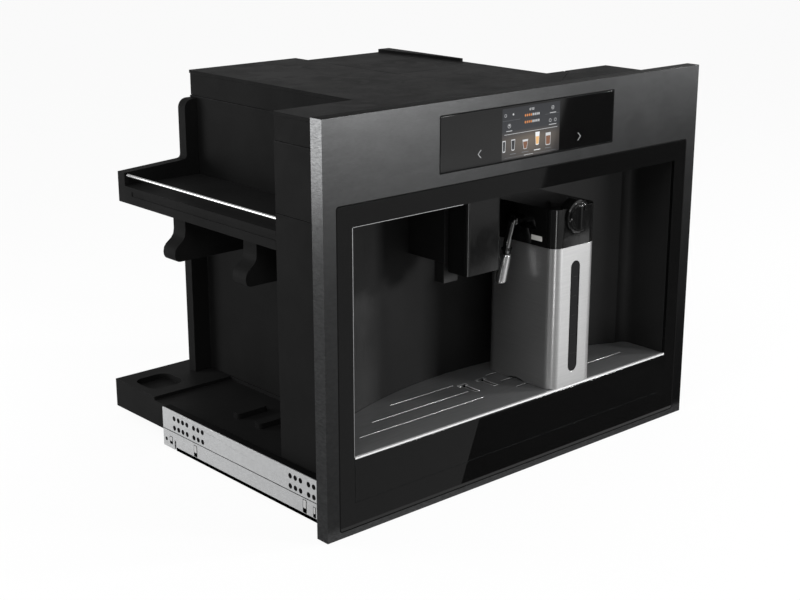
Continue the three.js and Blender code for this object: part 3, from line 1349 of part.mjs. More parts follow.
function addGroundsContainer() {
  const front = SERVICE_FRONT + FIT;
  const rear = SERVICE_REAR - FIT;
  const top = GROUNDS_TOP - FIT;
  const box = block([BREW_LEFT, BODY_RIGHT], [front, rear], [BODY_BOTTOM, top]);
  const inside = block(
    [BREW_LEFT + MOULDING, RIGHT_INNER],
    [front + MOULDING, rear - MOULDING],
    [BODY_BOTTOM + MOULDING, top + OVER],
  );
  addPiece('grounds_container', box.subtract(inside), 'satinBlack');
}

function addWaterCircuit() {
  const ledge = BOILER_LEDGE + FIT;
  const boilerFront = BULKHEAD_Y - BOILER_DEPTH;
  const body = prism('z', roundedOutline(
    [BOILER_LEFT, BOILER_LEFT + BOILER_WIDTH],
    [boilerFront, BULKHEAD_Y - FIT],
    CARAFE_CORNER,
  ), ledge, ledge + BOILER_HEIGHT, 3);
  const stubs = [1, 3].map((quarter) => rod(
    'z',
    [BOILER_LEFT + (quarter * BOILER_WIDTH) / 4, BULKHEAD_Y - BOILER_DEPTH / 2],
    BOILER_STUB_RADIUS,
    ledge,
    ledge + BOILER_HEIGHT + BOILER_STUB_LENGTH,
    10,
  ));
  addPiece('thermoblock', join([body, ...stubs]), 'castMetal');
  const axleZ = BODY_BOTTOM + PUMP_RADIUS + MOULDING;
  const barrel = rod('x', [PUMP_Y, axleZ], PUMP_RADIUS, PUMP_LEFT, PUMP_LEFT + PUMP_LENGTH);
  const foot = block(
    [PUMP_LEFT + MOULDING, PUMP_LEFT + PUMP_LENGTH - MOULDING],
    [PUMP_Y - PUMP_FOOT, PUMP_Y + PUMP_FOOT],
    [BODY_BOTTOM, BODY_BOTTOM + 2 * MOULDING],
  );
  const snoutEnd = PUMP_LEFT + PUMP_LENGTH + PUMP_RADIUS;
  const snout = rod('x', [PUMP_Y, axleZ], BOILER_STUB_RADIUS, PUMP_LEFT, snoutEnd, 10);
  addPiece('pump', join([barrel, foot, snout]), 'castMetal');
}

function addPowerBoard() {
  const front = BULKHEAD_Y + PANEL_WALL + FIT;
  const plate = block(
    [POWER_BOARD_LEFT, POWER_BOARD_LEFT + POWER_BOARD_WIDTH],
    [front, front + BOARD_THICK],
    [POWER_BOARD_BOTTOM, POWER_BOARD_BOTTOM + POWER_BOARD_HEIGHT],
  );
  const capacitors = [1, 2, 3].map((place) => rod(
    'y',
    [
      POWER_BOARD_LEFT + (place * POWER_BOARD_WIDTH) / 4,
      POWER_BOARD_BOTTOM + POWER_BOARD_HEIGHT / 4,
    ],
    CAPACITOR_RADIUS,
    front,
    front + CAPACITOR_LENGTH,
    12,
  ));
  const transformer = block(
    [POWER_BOARD_LEFT + CAPACITOR_RADIUS, POWER_BOARD_LEFT + POWER_BOARD_WIDTH / 2],
    [front, front + CAPACITOR_LENGTH],
    [POWER_BOARD_BOTTOM + POWER_BOARD_HEIGHT / 2, POWER_BOARD_BOTTOM + POWER_BOARD_HEIGHT - CAPACITOR_RADIUS],
  );
  addPiece('power_board', join([plate, ...capacitors, transformer]), 'board');
}

// ---------------------------------------------------------------- water tank
function addWaterTank() {
  const plan = (inset) => roundedOutline(
    [TANK_LEFT + inset, TANK_RIGHT - inset],
    [TANK_FRONT + inset, TANK_REAR - inset],
    TANK_CORNER - inset,
  );
  const bottom = DECK_LOW + FIT;
  const floor = BASE_TOP + FIT + TANK_WALL;
  const pocketTop = DECK_LOW + SEAT_HEIGHT + FIT;
  const pocketRadius = SEAT_RADIUS + RUN;
  const outer = prism('z', plan(0), bottom, TANK_TOP);
  const water = prism('z', plan(TANK_WALL), floor, TANK_TOP + OVER);
  const dome = rod('z', seatCentre(), pocketRadius + TANK_WALL, bottom, pocketTop + TANK_WALL);
  const pocket = rod('z', seatCentre(), pocketRadius, bottom - OVER, pocketTop);
  const rearDeck = block(
    [TANK_LEFT - OVER, TANK_RIGHT + OVER],
    [DECK_STEP_Y - FIT, TANK_REAR + OVER],
    [bottom - OVER, BASE_TOP + FIT],
  );
  addPiece('water_tank', cut(outer.subtract(water).add(dome), [pocket, rearDeck]), 'smoke');
  const lid = prism('z', plan(0), TANK_TOP + FIT, TANK_TOP + FIT + TANK_LID_THICK);
  addPiece('water_tank_lid', lid, 'darkPlastic');
}

// ---------------------------------------------------------------- assembly
addFrontFrame();
addControlPanel();
addDoorGlass();
addNicheLiner();
addDripTray();
addDripGrid();
addTrayFloat();
addSpoutGuide();
addCoffeeSpout();
addHotWaterOutlet();
addSteamConnector();
addMilkCarafe();
addCarafeLid();
addFrothKnob();
addMilkSpout();
addPickupTube();
addFrontHousing();
addBaseTray();
addTopCover();
addSidePanels();
addRearPanel();
addMainsInlet();
addStorageShelf();
addCordHooks();
addRunner(-1, 'left');
addRunner(1, 'right');
addBeanHopper();
addGrindDial();
addBeanLid();
addGrinder();
addBrewUnit();
addGroundsContainer();
addWaterCircuit();
addPowerBoard();
addWaterTank();

// The origin is the middle of the machine's plan, at the bottom of the front frame.
machine.position.y = -(BASE_REAR - KNOB_PROUD) / 2;

export default machine;
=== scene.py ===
"""Dresses the built-in coffee machine: finishes, eased edges, small details and the studio round it."""

import json
import logging
import math
from dataclasses import dataclass
from enum import Enum
from typing import Any, ClassVar, Iterable, Sequence

import bmesh
import bpy
from mathutils import Matrix, Vector

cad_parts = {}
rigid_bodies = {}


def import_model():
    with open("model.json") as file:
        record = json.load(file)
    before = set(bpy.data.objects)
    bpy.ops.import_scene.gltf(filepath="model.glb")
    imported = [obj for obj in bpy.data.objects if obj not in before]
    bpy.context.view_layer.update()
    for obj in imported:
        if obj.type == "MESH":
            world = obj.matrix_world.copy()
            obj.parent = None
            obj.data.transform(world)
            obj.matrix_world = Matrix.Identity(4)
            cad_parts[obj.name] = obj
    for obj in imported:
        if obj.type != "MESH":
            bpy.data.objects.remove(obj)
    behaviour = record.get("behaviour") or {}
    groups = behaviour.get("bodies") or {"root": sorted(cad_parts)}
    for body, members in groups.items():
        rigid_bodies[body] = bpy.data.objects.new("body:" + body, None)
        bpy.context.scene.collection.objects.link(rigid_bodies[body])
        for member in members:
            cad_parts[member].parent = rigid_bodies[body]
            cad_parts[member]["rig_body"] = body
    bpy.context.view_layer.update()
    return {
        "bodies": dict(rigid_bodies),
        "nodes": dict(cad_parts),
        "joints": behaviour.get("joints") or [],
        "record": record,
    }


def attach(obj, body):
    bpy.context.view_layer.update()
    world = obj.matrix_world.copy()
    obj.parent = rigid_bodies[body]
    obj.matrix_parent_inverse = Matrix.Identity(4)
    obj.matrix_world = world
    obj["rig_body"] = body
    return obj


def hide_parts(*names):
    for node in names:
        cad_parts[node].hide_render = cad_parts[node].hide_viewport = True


LOG = logging.getLogger("coffee_machine")
MM = 0.001
FRONT_PLANE = -232.75  # where the front face lies along the row frame's Y, in millimetres
EASED = "eased"  # face attribute that is 1 on eased edges
EASED_ABOVE = 28.0  # angle in degrees above which an edge is eased
SHARP_ABOVE = 35.0  # angle in degrees above which plain faces shade apart
SCREEN_HALF = 46.3  # half the lit display's width
SCREEN_LOW = 380.6  # its lower edge
SCREEN_HIGH = 437.3  # its upper edge

Point = tuple[float, float]
Triple = tuple[float, float, float]


class Axis(Enum):
    """Axis that an outline is pushed along."""

    X = "x"
    Y = "y"
    Z = "z"


def at(x: float, y: float, z: float) -> Vector:
    """Returns a point of the row frame in metres from millimetres behind the front face."""
    return Vector((x, y + FRONT_PLANE, z)) * MM


def grey(value: float, tint: float = 0.0) -> Triple:
    """Returns a neutral colour; a positive tint makes it cooler."""
    return (value * (1 - tint), value, value * (1 + tint))


def shade(colour: Triple, factor: float, lift: float = 0.0) -> Triple:
    """Returns a colour made lighter or darker by a factor, then lifted evenly."""
    return tuple(channel * factor + lift for channel in colour)


# ------------------------------------------------------------------ shader building
class Wires:
    """Adds nodes to one shader tree and links them."""

    def __init__(self, tree: bpy.types.NodeTree) -> None:
        """Keeps the tree that the nodes go into.

        Args:
            tree: Node tree of a material, a world or a group.
        """
        self.tree = tree

    def feed(self, node: bpy.types.Node, values: dict[Any, Any]) -> None:
        """Links or sets a node's inputs.

        Args:
            node: The node.
            values: Input sockets by name or number, each with a value or a socket to link.
        """
        for key, value in values.items():
            if isinstance(value, bpy.types.NodeSocket):
                self.tree.links.new(value, node.inputs[key])
            else:
                node.inputs[key].default_value = value

    def add(self, kind: str, values: dict[Any, Any] | None = None, **settings: Any) -> bpy.types.Node:
        """Adds one node.

        Args:
            kind: Blender's name of the node type.
            values: Its inputs, as for feed().
            **settings: Properties of the node itself.

        Returns:
            The new node.
        """
        node = self.tree.nodes.new(kind)
        for key, value in settings.items():
            setattr(node, key, value)
        self.feed(node, values or {})
        return node

    def place(self) -> bpy.types.NodeSocket:
        """Returns the position in the piece's own frame."""
        return self.add("ShaderNodeTexCoord").outputs["Object"]

    def math(self, operation: str, *values: Any) -> bpy.types.NodeSocket:
        """Adds a Math node and returns its result socket."""
        return self.add("ShaderNodeMath", dict(enumerate(values)), operation=operation).outputs[0]

    def product(self, first: Any, *rest: Any) -> Any:
        """Multiplies values one after the other and returns the result socket."""
        for value in rest:
            first = self.math("MULTIPLY", first, value)
        return first

    def spread(
        self, value: Any, low: float = 0.0, high: float = 1.0, to_low: float = 0.0, to_high: float = 1.0
    ) -> bpy.types.NodeSocket:
        """Maps a value from one range to another, held at its ends.

        Args:
            value: Socket to map.
            low: Value that becomes to_low.
            high: Value that becomes to_high.
            to_low: Result at the low end.
            to_high: Result at the high end.

        Returns:
            The result socket.
        """
        return self.add("ShaderNodeMapRange", dict(enumerate((value, low, high, to_low, to_high)))).outputs[0]

    def blend(self, share: Any, first: Any, second: Any) -> bpy.types.NodeSocket:
        """Mixes two colours.

        Args:
            share: Socket, 0 for the first colour and 1 for the second.
            first: Colour or socket.
            second: Colour or socket.

        Returns:
            The mixed colour's socket.
        """
        pair = [(*c, 1.0) if isinstance(c, tuple) else c for c in (first, second)]
        return self.add("ShaderNodeMix", {0: share, 6: pair[0], 7: pair[1]}, data_type="RGBA").outputs[2]

    def noise(self, place: Any, scale: Any, detail: float = 2.0, rough: float = 0.5) -> bpy.types.NodeSocket:
        """Adds a Noise texture.

        Args:
            place: Socket with the texture position.
            scale: Features per metre.
            detail: Number of finer layers.
            rough: Weight of the finer layers.

        Returns:
            The value socket, from 0 to 1.
        """
        values = {"Vector": place, "Scale": scale, "Detail": detail, "Roughness": rough}
        return self.add("ShaderNodeTexNoise", values).outputs["Fac"]

    def bump(self, height: Any, depth: float, strength: float = 0.2) -> bpy.types.NodeSocket:
        """Adds relief.

        Args:
            height: Socket with the height, from 0 to 1.
            depth: What a height of 1 stands for, in metres.
            strength: Share of the relief that shows.

        Returns:
            The normal's socket.
        """
        values = {"Strength": strength, "Distance": depth, "Height": height}
        return self.add("ShaderNodeBump", values).outputs[0]

    def seen(self) -> bpy.types.NodeSocket:
        """Returns 1 for camera, glossy and transmission rays, and 0 for the light itself."""
        path = self.add("ShaderNodeLightPath").outputs
        shown = self.math("MAXIMUM", path["Is Camera Ray"], path["Is Glossy Ray"])
        return self.math("MAXIMUM", shown, path["Is Transmission Ray"])


def bare_material(name: str) -> tuple[bpy.types.Material, Wires]:
    """Returns a new material without nodes, and wires on its tree."""
    made = bpy.data.materials.new(name)
    made.use_nodes = True
    made.node_tree.nodes.clear()
    return made, Wires(made.node_tree)


class Effect(Enum):
    """Surface effects that several finishes share, each one a shader node group."""

    GRAIN = "moulded_grain"
    BRUSH = "brush_lines"
    # eased edges: one mask for both worn edges and painted edge light (highlights, and a dark line on the
    # frame)
    EDGE_WEAR_AND_PAINTED_LIGHT = "edge_wear"
    HANDLING = "handling_marks"
    DUST = "settled_dust"


class EffectLibrary:
    """Builds each shared effect once and places it in materials."""

    def __init__(self) -> None:
        """Starts with no effect built."""
        self._groups: dict[Effect, bpy.types.NodeTree] = {}

    def place(self, wires: Wires, effect: Effect, **values: Any) -> Any:
        """Puts an effect into a material.

        Args:
            wires: Tree of the material.
            effect: The effect to place.
            **values: Values of the group's inputs, by name.

        Returns:
            The effect's output sockets, by name.
        """
        if effect not in self._groups:
            self._groups[effect] = self._build(effect)
        return wires.add("ShaderNodeGroup", values, node_tree=self._groups[effect]).outputs

    def _build(self, effect: Effect) -> bpy.types.NodeTree:
        """Builds the node group of an effect and returns its tree."""
        tree = bpy.data.node_groups.new(effect.value, "ShaderNodeTree")
        recipe = {
            Effect.GRAIN: self._grain, Effect.BRUSH: self._brush, Effect.EDGE_WEAR_AND_PAINTED_LIGHT: self._edge_wear_and_painted_light,
            Effect.HANDLING: self._handling, Effect.DUST: self._dust,
        }[effect]
        recipe(tree)
        return tree

    @staticmethod
    def _sockets(
        tree: bpy.types.NodeTree, name: str, default: float | Triple, outs: Sequence[str]
    ) -> tuple[Wires, Any, Any]:
        """Gives a group its one input and its outputs.

        Args:
            tree: The group's tree.
            name: Name of the input.
            default: Its default; a tuple makes it a vector.
            outs: Output names, all plain values.

        Returns:
            Wires on the tree, the input's socket and the group's output node.
        """
        kind = "NodeSocketVector" if isinstance(default, tuple) else "NodeSocketFloat"
        tree.interface.new_socket(name, in_out="INPUT", socket_type=kind).default_value = default
        for out in outs:
            tree.interface.new_socket(out, in_out="OUTPUT", socket_type="NodeSocketFloat")
        wires = Wires(tree)
        return wires, wires.add("NodeGroupInput").outputs[0], wires.add("NodeGroupOutput")

    def _grain(self, tree: bpy.types.NodeTree) -> None:
        """Fills the group for the spark-eroded grain of a moulding: its height and a slow mottle."""
        wires, scale, sink = self._sockets(tree, "Scale", 900.0, ("Height", "Mottle"))
        place = wires.place()
        wires.feed(sink, {
            "Height": wires.noise(place, scale, 3.0, 0.6),
            "Mottle": wires.spread(wires.noise(place, 14.0, 3.0, 0.55), 0.3, 0.7),
        })

    def _brush(self, tree: bpy.types.NodeTree) -> None:
        """Fills the group for brushed metal: fine lines and broader streaks, stretched by Stretch."""
        wires, stretch, sink = self._sockets(tree, "Stretch", (80.0, 80.0, 800.0), ("Lines", "Streaks"))
        stretched = wires.add("ShaderNodeVectorMath", {0: wires.place(), 1: stretch}, operation="MULTIPLY")
        drawn = stretched.outputs[0]
        wires.feed(sink, {
            "Lines": wires.spread(wires.noise(drawn, 1.0, 4.0, 0.7), 0.25, 0.75),
            "Streaks": wires.spread(wires.noise(drawn, 0.22), 0.3, 0.7),
        })

    def _edge_wear_and_painted_light(self, tree: bpy.types.NodeTree) -> None:
        """Fills the group for the eased edges: a mask, broken up by noise, that finishes use both for edges
        worn a little by use and for a painted highlight along them (a painted dark line on the frame).
        """
        wires, amount, sink = self._sockets(tree, "Amount", 0.5, ("Mask",))
        mark = wires.add("ShaderNodeAttribute", attribute_name=EASED, attribute_type="GEOMETRY")
        edge = mark.outputs["Fac"]
        patchy = wires.spread(wires.noise(wires.place(), 60.0, 4.0, 0.6), 0.4, 0.65, 0.25)
        wires.feed(sink, {"Mask": wires.product(edge, patchy, amount)})

    def _handling(self, tree: bpy.types.NodeTree) -> None:
        """Fills the group for faint wiped patches that change the gloss."""
        wires, size, sink = self._sockets(tree, "Size", 9.0, ("Smudge",))
        place = wires.place()
        warp = wires.noise(place, wires.math("MULTIPLY", size, 2.7))
        moved = wires.add("ShaderNodeVectorMath", {0: place, 1: warp, 2: place}, operation="MULTIPLY_ADD")
        wires.feed(sink, {"Smudge": wires.spread(wires.noise(moved.outputs[0], size, 4.0, 0.6), 0.35, 0.68)})

    def _dust(self, tree: bpy.types.NodeTree) -> None:
        """Fills the group for a thin bloom on faces that look up."""
        wires, amount, sink = self._sockets(tree, "Amount", 0.3, ("Mask",))
        normal = wires.add("ShaderNodeNewGeometry").outputs["Normal"]
        facing = wires.spread(wires.add("ShaderNodeSeparateXYZ", {0: normal}).outputs[2], 0.55)
        cloud = wires.spread(wires.noise(wires.place(), 35.0, 5.0, 0.65), 0.3, 0.75, 0.35)
        wires.feed(sink, {"Mask": wires.product(facing, cloud, amount)})


EFFECTS = EffectLibrary()


# ------------------------------------------------------------------ finishes
@dataclass(frozen=True)
class Finish:
    """What every finish has: a name, the record's slot that it belongs to, and a colour."""

    name: str
    slot: str
    colour: Triple

    def material(self) -> bpy.types.Material:
        """Returns the finish's material, built at its first use."""
        made = bpy.data.materials.get(self.name)
        if not made:
            made, wires = bare_material(self.name)
            made.diffuse_color = (*self.colour, 1.0)
            shader = wires.add("ShaderNodeBsdfPrincipled", {"Base Color": (*self.colour, 1.0)})
            wires.add("ShaderNodeOutputMaterial", {"Surface": shader.outputs[0]})
            self.wire(wires, shader)
        return made

    def wire(self, wires: Wires, shader: bpy.types.Node) -> None:
        """Links the finish's own look to its shader.

        Args:
            wires: Tree of the material.
            shader: Its Principled shader.
        """
        raise NotImplementedError


@dataclass(frozen=True)
class Moulding(Finish):
    """Moulded plastic, from spark-eroded to polished."""

    rough: float = 0.5
    gloss: float = 0.3
    grain: float = 900.0
    depth: float = 0.00005
    # share of eased edges painted lighter: worn tone plus a painted highlight
    wear_and_painted_edge_light: float = 0.35
    dust: float = 0.12

    def wire(self, wires: Wires, shader: bpy.types.Node) -> None:
        """Links grain, eased edges painted lighter (worn by use, and a painted highlight), smudges and dust
        to the shader.
        """
        grain = EFFECTS.place(wires, Effect.GRAIN, Scale=self.grain)
        wear_and_painted_edge_light = EFFECTS.place(wires, Effect.EDGE_WEAR_AND_PAINTED_LIGHT, Amount=self.wear_and_painted_edge_light)["Mask"]
        dust = EFFECTS.place(wires, Effect.DUST, Amount=self.dust)["Mask"]
        smudge = EFFECTS.place(wires, Effect.HANDLING, Size=11.0)["Smudge"]
        body = wires.blend(grain["Mottle"], shade(self.colour, 0.9), shade(self.colour, 1.12))
        # eased edges painted lighter: worn tone plus a painted highlight along them
        worn_and_highlighted = wires.blend(wear_and_painted_edge_light, body, shade(self.colour, 1.8, 0.015))
        low = max(self.rough - 0.05, 0.02)
        wires.feed(shader, {
            "Base Color": wires.blend(dust, worn_and_highlighted, shade(self.colour, 0.8, 0.03)),
            "Roughness": wires.spread(smudge, to_low=low, to_high=self.rough + 0.05),
            "Normal": wires.bump(grain["Height"], self.depth, 0.35),
            "Specular IOR Level": self.gloss,
        })


@dataclass(frozen=True)
class Brushed(Finish):
    """Sheet metal brushed in one direction."""

    rough: float = 0.3
    stretch: Triple = (80.0, 80.0, 800.0)
    contrast: float = 0.25
    aniso: float = 0.3
    metal: float = 1.0
    relief: float = 0.00002
    spread: float = 0.04
    # colour factor on the eased edges: above 1 a worn tone plus painted highlight, below 1 a painted dark
    # edge line
    edge: float = 1.7
    rim: float = 1.0
    across: ClassVar[float] = 0.25

    def wire(self, wires: Wires, shader: bpy.types.Node) -> None:
        """Links brush lines to colour, roughness and relief, tints the eased edges (worn tone, and painted
        light: lighter as a highlight, darker on the frame), and stretches the gloss across them.
        """
        brush = EFFECTS.place(wires, Effect.BRUSH, Stretch=self.stretch)
        lines = brush["Lines"]
        smudge = EFFECTS.place(wires, Effect.HANDLING, Size=7.0)["Smudge"]
        wear_and_painted_edge_light = EFFECTS.place(wires, Effect.EDGE_WEAR_AND_PAINTED_LIGHT, Amount=0.5)["Mask"]
        dark, pale = (shade(self.colour, 1 + turn * self.contrast) for turn in (-1, 1))
        lined = wires.blend(lines, dark, pale)
        streaks = wires.math("MULTIPLY", brush["Streaks"], 0.3)
        broad = wires.blend(streaks, lined, shade(self.colour, 1 - 0.6 * self.contrast))
        rough = wires.spread(lines, to_low=self.rough + self.spread, to_high=self.rough - self.spread)
        wires.feed(shader, {
            # eased edges take the edge colour: a painted highlight with worn tone, and on the frame a painted
            # dark line
            "Base Color": wires.blend(wear_and_painted_edge_light, broad, shade(self.colour, self.edge)),
            "Roughness": wires.math("ADD", rough, wires.spread(smudge, to_low=-0.005, to_high=0.008)),
            "Normal": wires.bump(lines, self.relief),
            "Tangent": wires.add("ShaderNodeTangent", direction_type="RADIAL", axis="Z").outputs[0],
            "Metallic": self.metal,
            "Specular Tint": (self.rim, self.rim, self.rim, 1.0),
            "Anisotropic": self.aniso,
            "Anisotropic Rotation": self.across,
        })


@dataclass(frozen=True)
class PrintedGlass(Finish):
    """Polished glass printed black on its back."""

    gloss: float = 0.4
    # colour of the eased edges: partly ground glass, partly a painted highlight
    edge: Triple = (0.03, 0.033, 0.033)

    def wire(self, wires: Wires, shader: bpy.types.Node) -> None:
        """Links wiped patches and the paler eased edges to the shader; the paler edges are partly the ground
        edge's own tone and partly a painted highlight.
        """
        smudge = EFFECTS.place(wires, Effect.HANDLING, Size=6.0)["Smudge"]
        wear_and_painted_edge_light = EFFECTS.place(wires, Effect.EDGE_WEAR_AND_PAINTED_LIGHT, Amount=0.6)["Mask"]
        hazed = wires.blend(wires.math("MULTIPLY", smudge, 0.3), self.colour, shade(self.colour, 1.4))
        wires.feed(shader, {
            "Base Color": wires.blend(wear_and_painted_edge_light, hazed, self.edge),
            "Roughness": wires.spread(smudge, to_low=0.03, to_high=0.045),
            "Specular IOR Level": self.gloss,
        })


@dataclass(frozen=True)
class Plated(Finish):
    """Zinc or chrome plate, or as-cast metal, with a mottled bloom."""

    rough: float = 0.4
    metal: float = 0.9
    bloom: float = 60.0
    contrast: float = 0.08

    def wire(self, wires: Wires, shader: bpy.types.Node) -> None:
        """Links the bloom, grain and eased edges, painted lighter as worn metal and as a painted highlight,
        to the shader.
        """
        cells = wires.add("ShaderNodeTexVoronoi", {"Vector": wires.place(), "Scale": self.bloom})
        grain = EFFECTS.place(wires, Effect.GRAIN, Scale=500.0)
        wear_and_painted_edge_light = EFFECTS.place(wires, Effect.EDGE_WEAR_AND_PAINTED_LIGHT, Amount=0.5)["Mask"]
        smudge = EFFECTS.place(wires, Effect.HANDLING, Size=13.0)["Smudge"]
        dark, pale = shade(self.colour, 1 - self.contrast), shade(self.colour, 1 + self.contrast)
        bloom = wires.blend(wires.spread(cells.outputs["Distance"], 0.0, 0.8), dark, pale)
        mottled = wires.blend(wires.math("MULTIPLY", grain["Mottle"], 0.5), bloom, dark)
        wires.feed(shader, {
            "Base Color": wires.blend(wear_and_painted_edge_light, mottled, shade(self.colour, 1.25)),
            "Roughness": wires.spread(smudge, to_low=self.rough * 0.85, to_high=self.rough * 1.15),
            "Normal": wires.bump(grain["Height"], 0.00004),
            "Metallic": self.metal,
        })


@dataclass(frozen=True)
class Tinted(Finish):
    """Smoke-tinted or clear moulding that light passes through."""

    rough: float = 0.08
    clear: float = 0.7
    gloss: float = 0.5
    bending: ClassVar[float] = 1.49

    def wire(self, wires: Wires, shader: bpy.types.Node) -> None:
        """Links wiped patches to the shader and lets light through."""
        smudge = EFFECTS.place(wires, Effect.HANDLING, Size=12.0)["Smudge"]
        mottle = EFFECTS.place(wires, Effect.GRAIN, Scale=300.0)["Mottle"]
        wires.feed(shader, {
            "Base Color": wires.blend(mottle, shade(self.colour, 0.92), shade(self.colour, 1.08)),
            "Roughness": wires.spread(smudge, to_low=self.rough * 0.7, to_high=self.rough * 1.6),
            "Transmission Weight": self.clear,
            "Specular IOR Level": self.gloss,
            "IOR": self.bending,
        })


@dataclass(frozen=True)
class Lit(Finish):
    """Print that gives off a little light behind the glass."""

    rough: ClassVar[float] = 0.05
    unlit: ClassVar[tuple[float, ...]] = (0.004, 0.004, 0.005, 1.0)

    def tone(self, wires: Wires) -> bpy.types.NodeSocket:
        """Returns the colour of the light, a trace uneven as a backlight is."""
        uneven = wires.spread(wires.noise(wires.place(), 90.0), 0.3, 0.7, 0.92)
        return wires.blend(uneven, shade(self.colour, 0.5), self.colour)

    def wire(self, wires: Wires, shader: bpy.types.Node) -> None:
        """Makes the print glow."""
        wires.feed(shader, {
            "Base Color": self.unlit, "Roughness": self.rough, "Specular IOR Level": 0.3,
            "Emission Color": self.tone(wires), "Emission Strength": 1.0,
        })


@dataclass(frozen=True)
class Backlight(Lit):
    """Lit display: cool slate at the top, warmer and lighter low in the middle."""

    warm: Triple = (0.13, 0.105, 0.08)
    rough: ClassVar[float] = 0.04

    def tone(self, wires: Wires) -> bpy.types.NodeSocket:
        """Returns the display's soft gradient."""
        across, _, up = wires.add("ShaderNodeSeparateXYZ", {0: wires.place()}).outputs
        rise = wires.spread(up, SCREEN_LOW * MM, SCREEN_HIGH * MM)
        low = wires.spread(rise, 0.38, 0.56, 1.0, 0.0)
        side = wires.spread(wires.math("ABSOLUTE", across), 0.0, SCREEN_HALF * MM, 1.0, 0.35)
        belly = wires.spread(rise, 0.0, 0.3, 0.35)
        warmed = wires.blend(wires.product(low, side, belly), self.colour, self.warm)
        return wires.blend(wires.spread(rise, 0.55, 1.0, 0.0, 0.45), warmed, shade(self.colour, 0.55))


class Finishes:
    """Every finish of the machine."""

    # edge=0.25: the eased edges are painted darker, a painted dark line along the frame's bends
    FRAME = Brushed("graphite_brushed_steel", "brushed_frame", grey(0.050, 0.01), rough=0.24, spread=0.034,
                    stretch=(190.0, 190.0, 1100.0), contrast=0.5, aniso=0.25, relief=0.000003, edge=0.25,
                    rim=0.12)
    GLASS = PrintedGlass("black_printed_glass", "black_glass", grey(0.0022), gloss=0.26)
    NICHE = Moulding("niche_satin_black", "satin_black", grey(0.0115), rough=0.42, gloss=0.12, grain=1200.0)
    BODY = Moulding("body_matt_black", "body_plastic", grey(0.0098), rough=0.55, gloss=0.008, dust=0.01)
    INNER = Moulding("inner_black_moulding", "dark_plastic", grey(0.009), rough=0.5, gloss=0.08)
    POLISHED = Moulding("polished_black_moulding", "gloss_black", grey(0.0035), rough=0.09, gloss=0.4,
                        grain=200.0, depth=0.000004, wear_and_painted_edge_light=0.15, dust=0.03)
    STEEL = Brushed("brushed_stainless_steel", "brushed_steel", grey(0.38), relief=0.000004, spread=0.02,
                    stretch=(22.0, 22.0, 900.0), contrast=0.11, aniso=0.5, metal=0.82)
    TRAY = Brushed("dark_brushed_tray", "tray_metal", grey(0.17, 0.01), rough=0.42,
                   stretch=(30.0, 700.0, 700.0), contrast=0.18, metal=0.6)
    # half-diffuse pale steel: reads bright under the lamps, partly a painted highlight on the grid's lips and
    # slot edges
    BRIGHT_AND_PAINTED_HIGHLIGHT = Brushed("bright_trim_steel_and_painted_highlight", "brushed_steel", grey(0.8), rough=0.25, metal=0.5, edge=1.0,
                     stretch=(60.0, 900.0, 900.0), contrast=0.06, aniso=0.4)
    SLEEVE = Brushed("turned_steel_sleeve", "brushed_steel", grey(0.62), rough=0.22, metal=0.95,
                     stretch=(40.0, 40.0, 900.0), contrast=0.06, relief=0.000003, spread=0.02)
    ZINC = Plated("zinc_plate", "zinc", grey(0.38, 0.01), rough=0.42, metal=0.55, bloom=160.0, contrast=0.05)
    CHROME = Plated("polished_chrome", "chrome", grey(0.3), rough=0.1, metal=1.0, bloom=40.0, contrast=0.02)
    DARK_CHROME = Plated("black_chrome", "chrome", grey(0.2), rough=0.12, metal=1.0, bloom=40.0,
                         contrast=0.03)
    BLACKED = Plated("blackened_steel", "zinc", grey(0.02), rough=0.45, metal=0.6, bloom=160.0, contrast=0.1)
    CAST = Plated("cast_aluminium", "cast_metal", grey(0.42), rough=0.5, metal=0.85, bloom=300.0,
                  contrast=0.12)
    BOARD = Moulding("coated_circuit_board", "board", (0.012, 0.06, 0.028), rough=0.32, gloss=0.5,
                     grain=400.0)
    WHITE = Moulding("natural_white_moulding", "milk_white", (0.62, 0.61, 0.58), rough=0.42, gloss=0.4,
                     wear_and_painted_edge_light=0.1)
    RUBBER = Moulding("black_rubber", "satin_black", grey(0.012), rough=0.7, gloss=0.2, grain=500.0)
    SMOKE = Tinted("smoke_tinted_moulding", "smoke", (0.17, 0.18, 0.20), rough=0.1, clear=0.75)
    PANE = Tinted("smoked_sight_pane", "clear_glass", (0.003, 0.003, 0.0035), rough=0.05, clear=0.03,
                  gloss=0.1)
    # black gasket material; also painted shade in the glass gaps and the runner's slots and screw openings,
    # and the dark strips on the runners
    GASKET_AND_PAINTED_SHADE = Moulding("black_gasket_and_painted_shade", "dark_plastic", grey(0.003), rough=0.7, gloss=0.02, wear_and_painted_edge_light=0.0, dust=0.0)
    SCREEN = Backlight("display_backlight", "dark_plastic", (0.019, 0.021, 0.024))
    PRINT_PALE = Lit("print_pale", "dark_plastic", (0.62, 0.63, 0.64))
    PRINT_WHITE = Lit("print_white", "dark_plastic", (0.85, 0.87, 0.88))
    PRINT_DIM = Lit("print_dim", "dark_plastic", (0.16, 0.17, 0.18))
    PRINT_AMBER = Lit("print_amber", "dark_plastic", (0.72, 0.26, 0.07))
    PRINT_DARK = Lit("print_dark", "dark_plastic", (0.018, 0.02, 0.022))
    PRINT_CREAM = Lit("print_cream", "dark_plastic", (0.85, 0.50, 0.20))
    PRINT_BROWN = Lit("print_brown", "dark_plastic", (0.20, 0.085, 0.04))


# ------------------------------------------------------------------ mesh building
def square(left: float, right: float, low: float, high: float) -> list[Point]:
    """Returns the outline of a plain rectangle, anticlockwise."""
    return [(left, low), (right, low), (right, high), (left, high)]


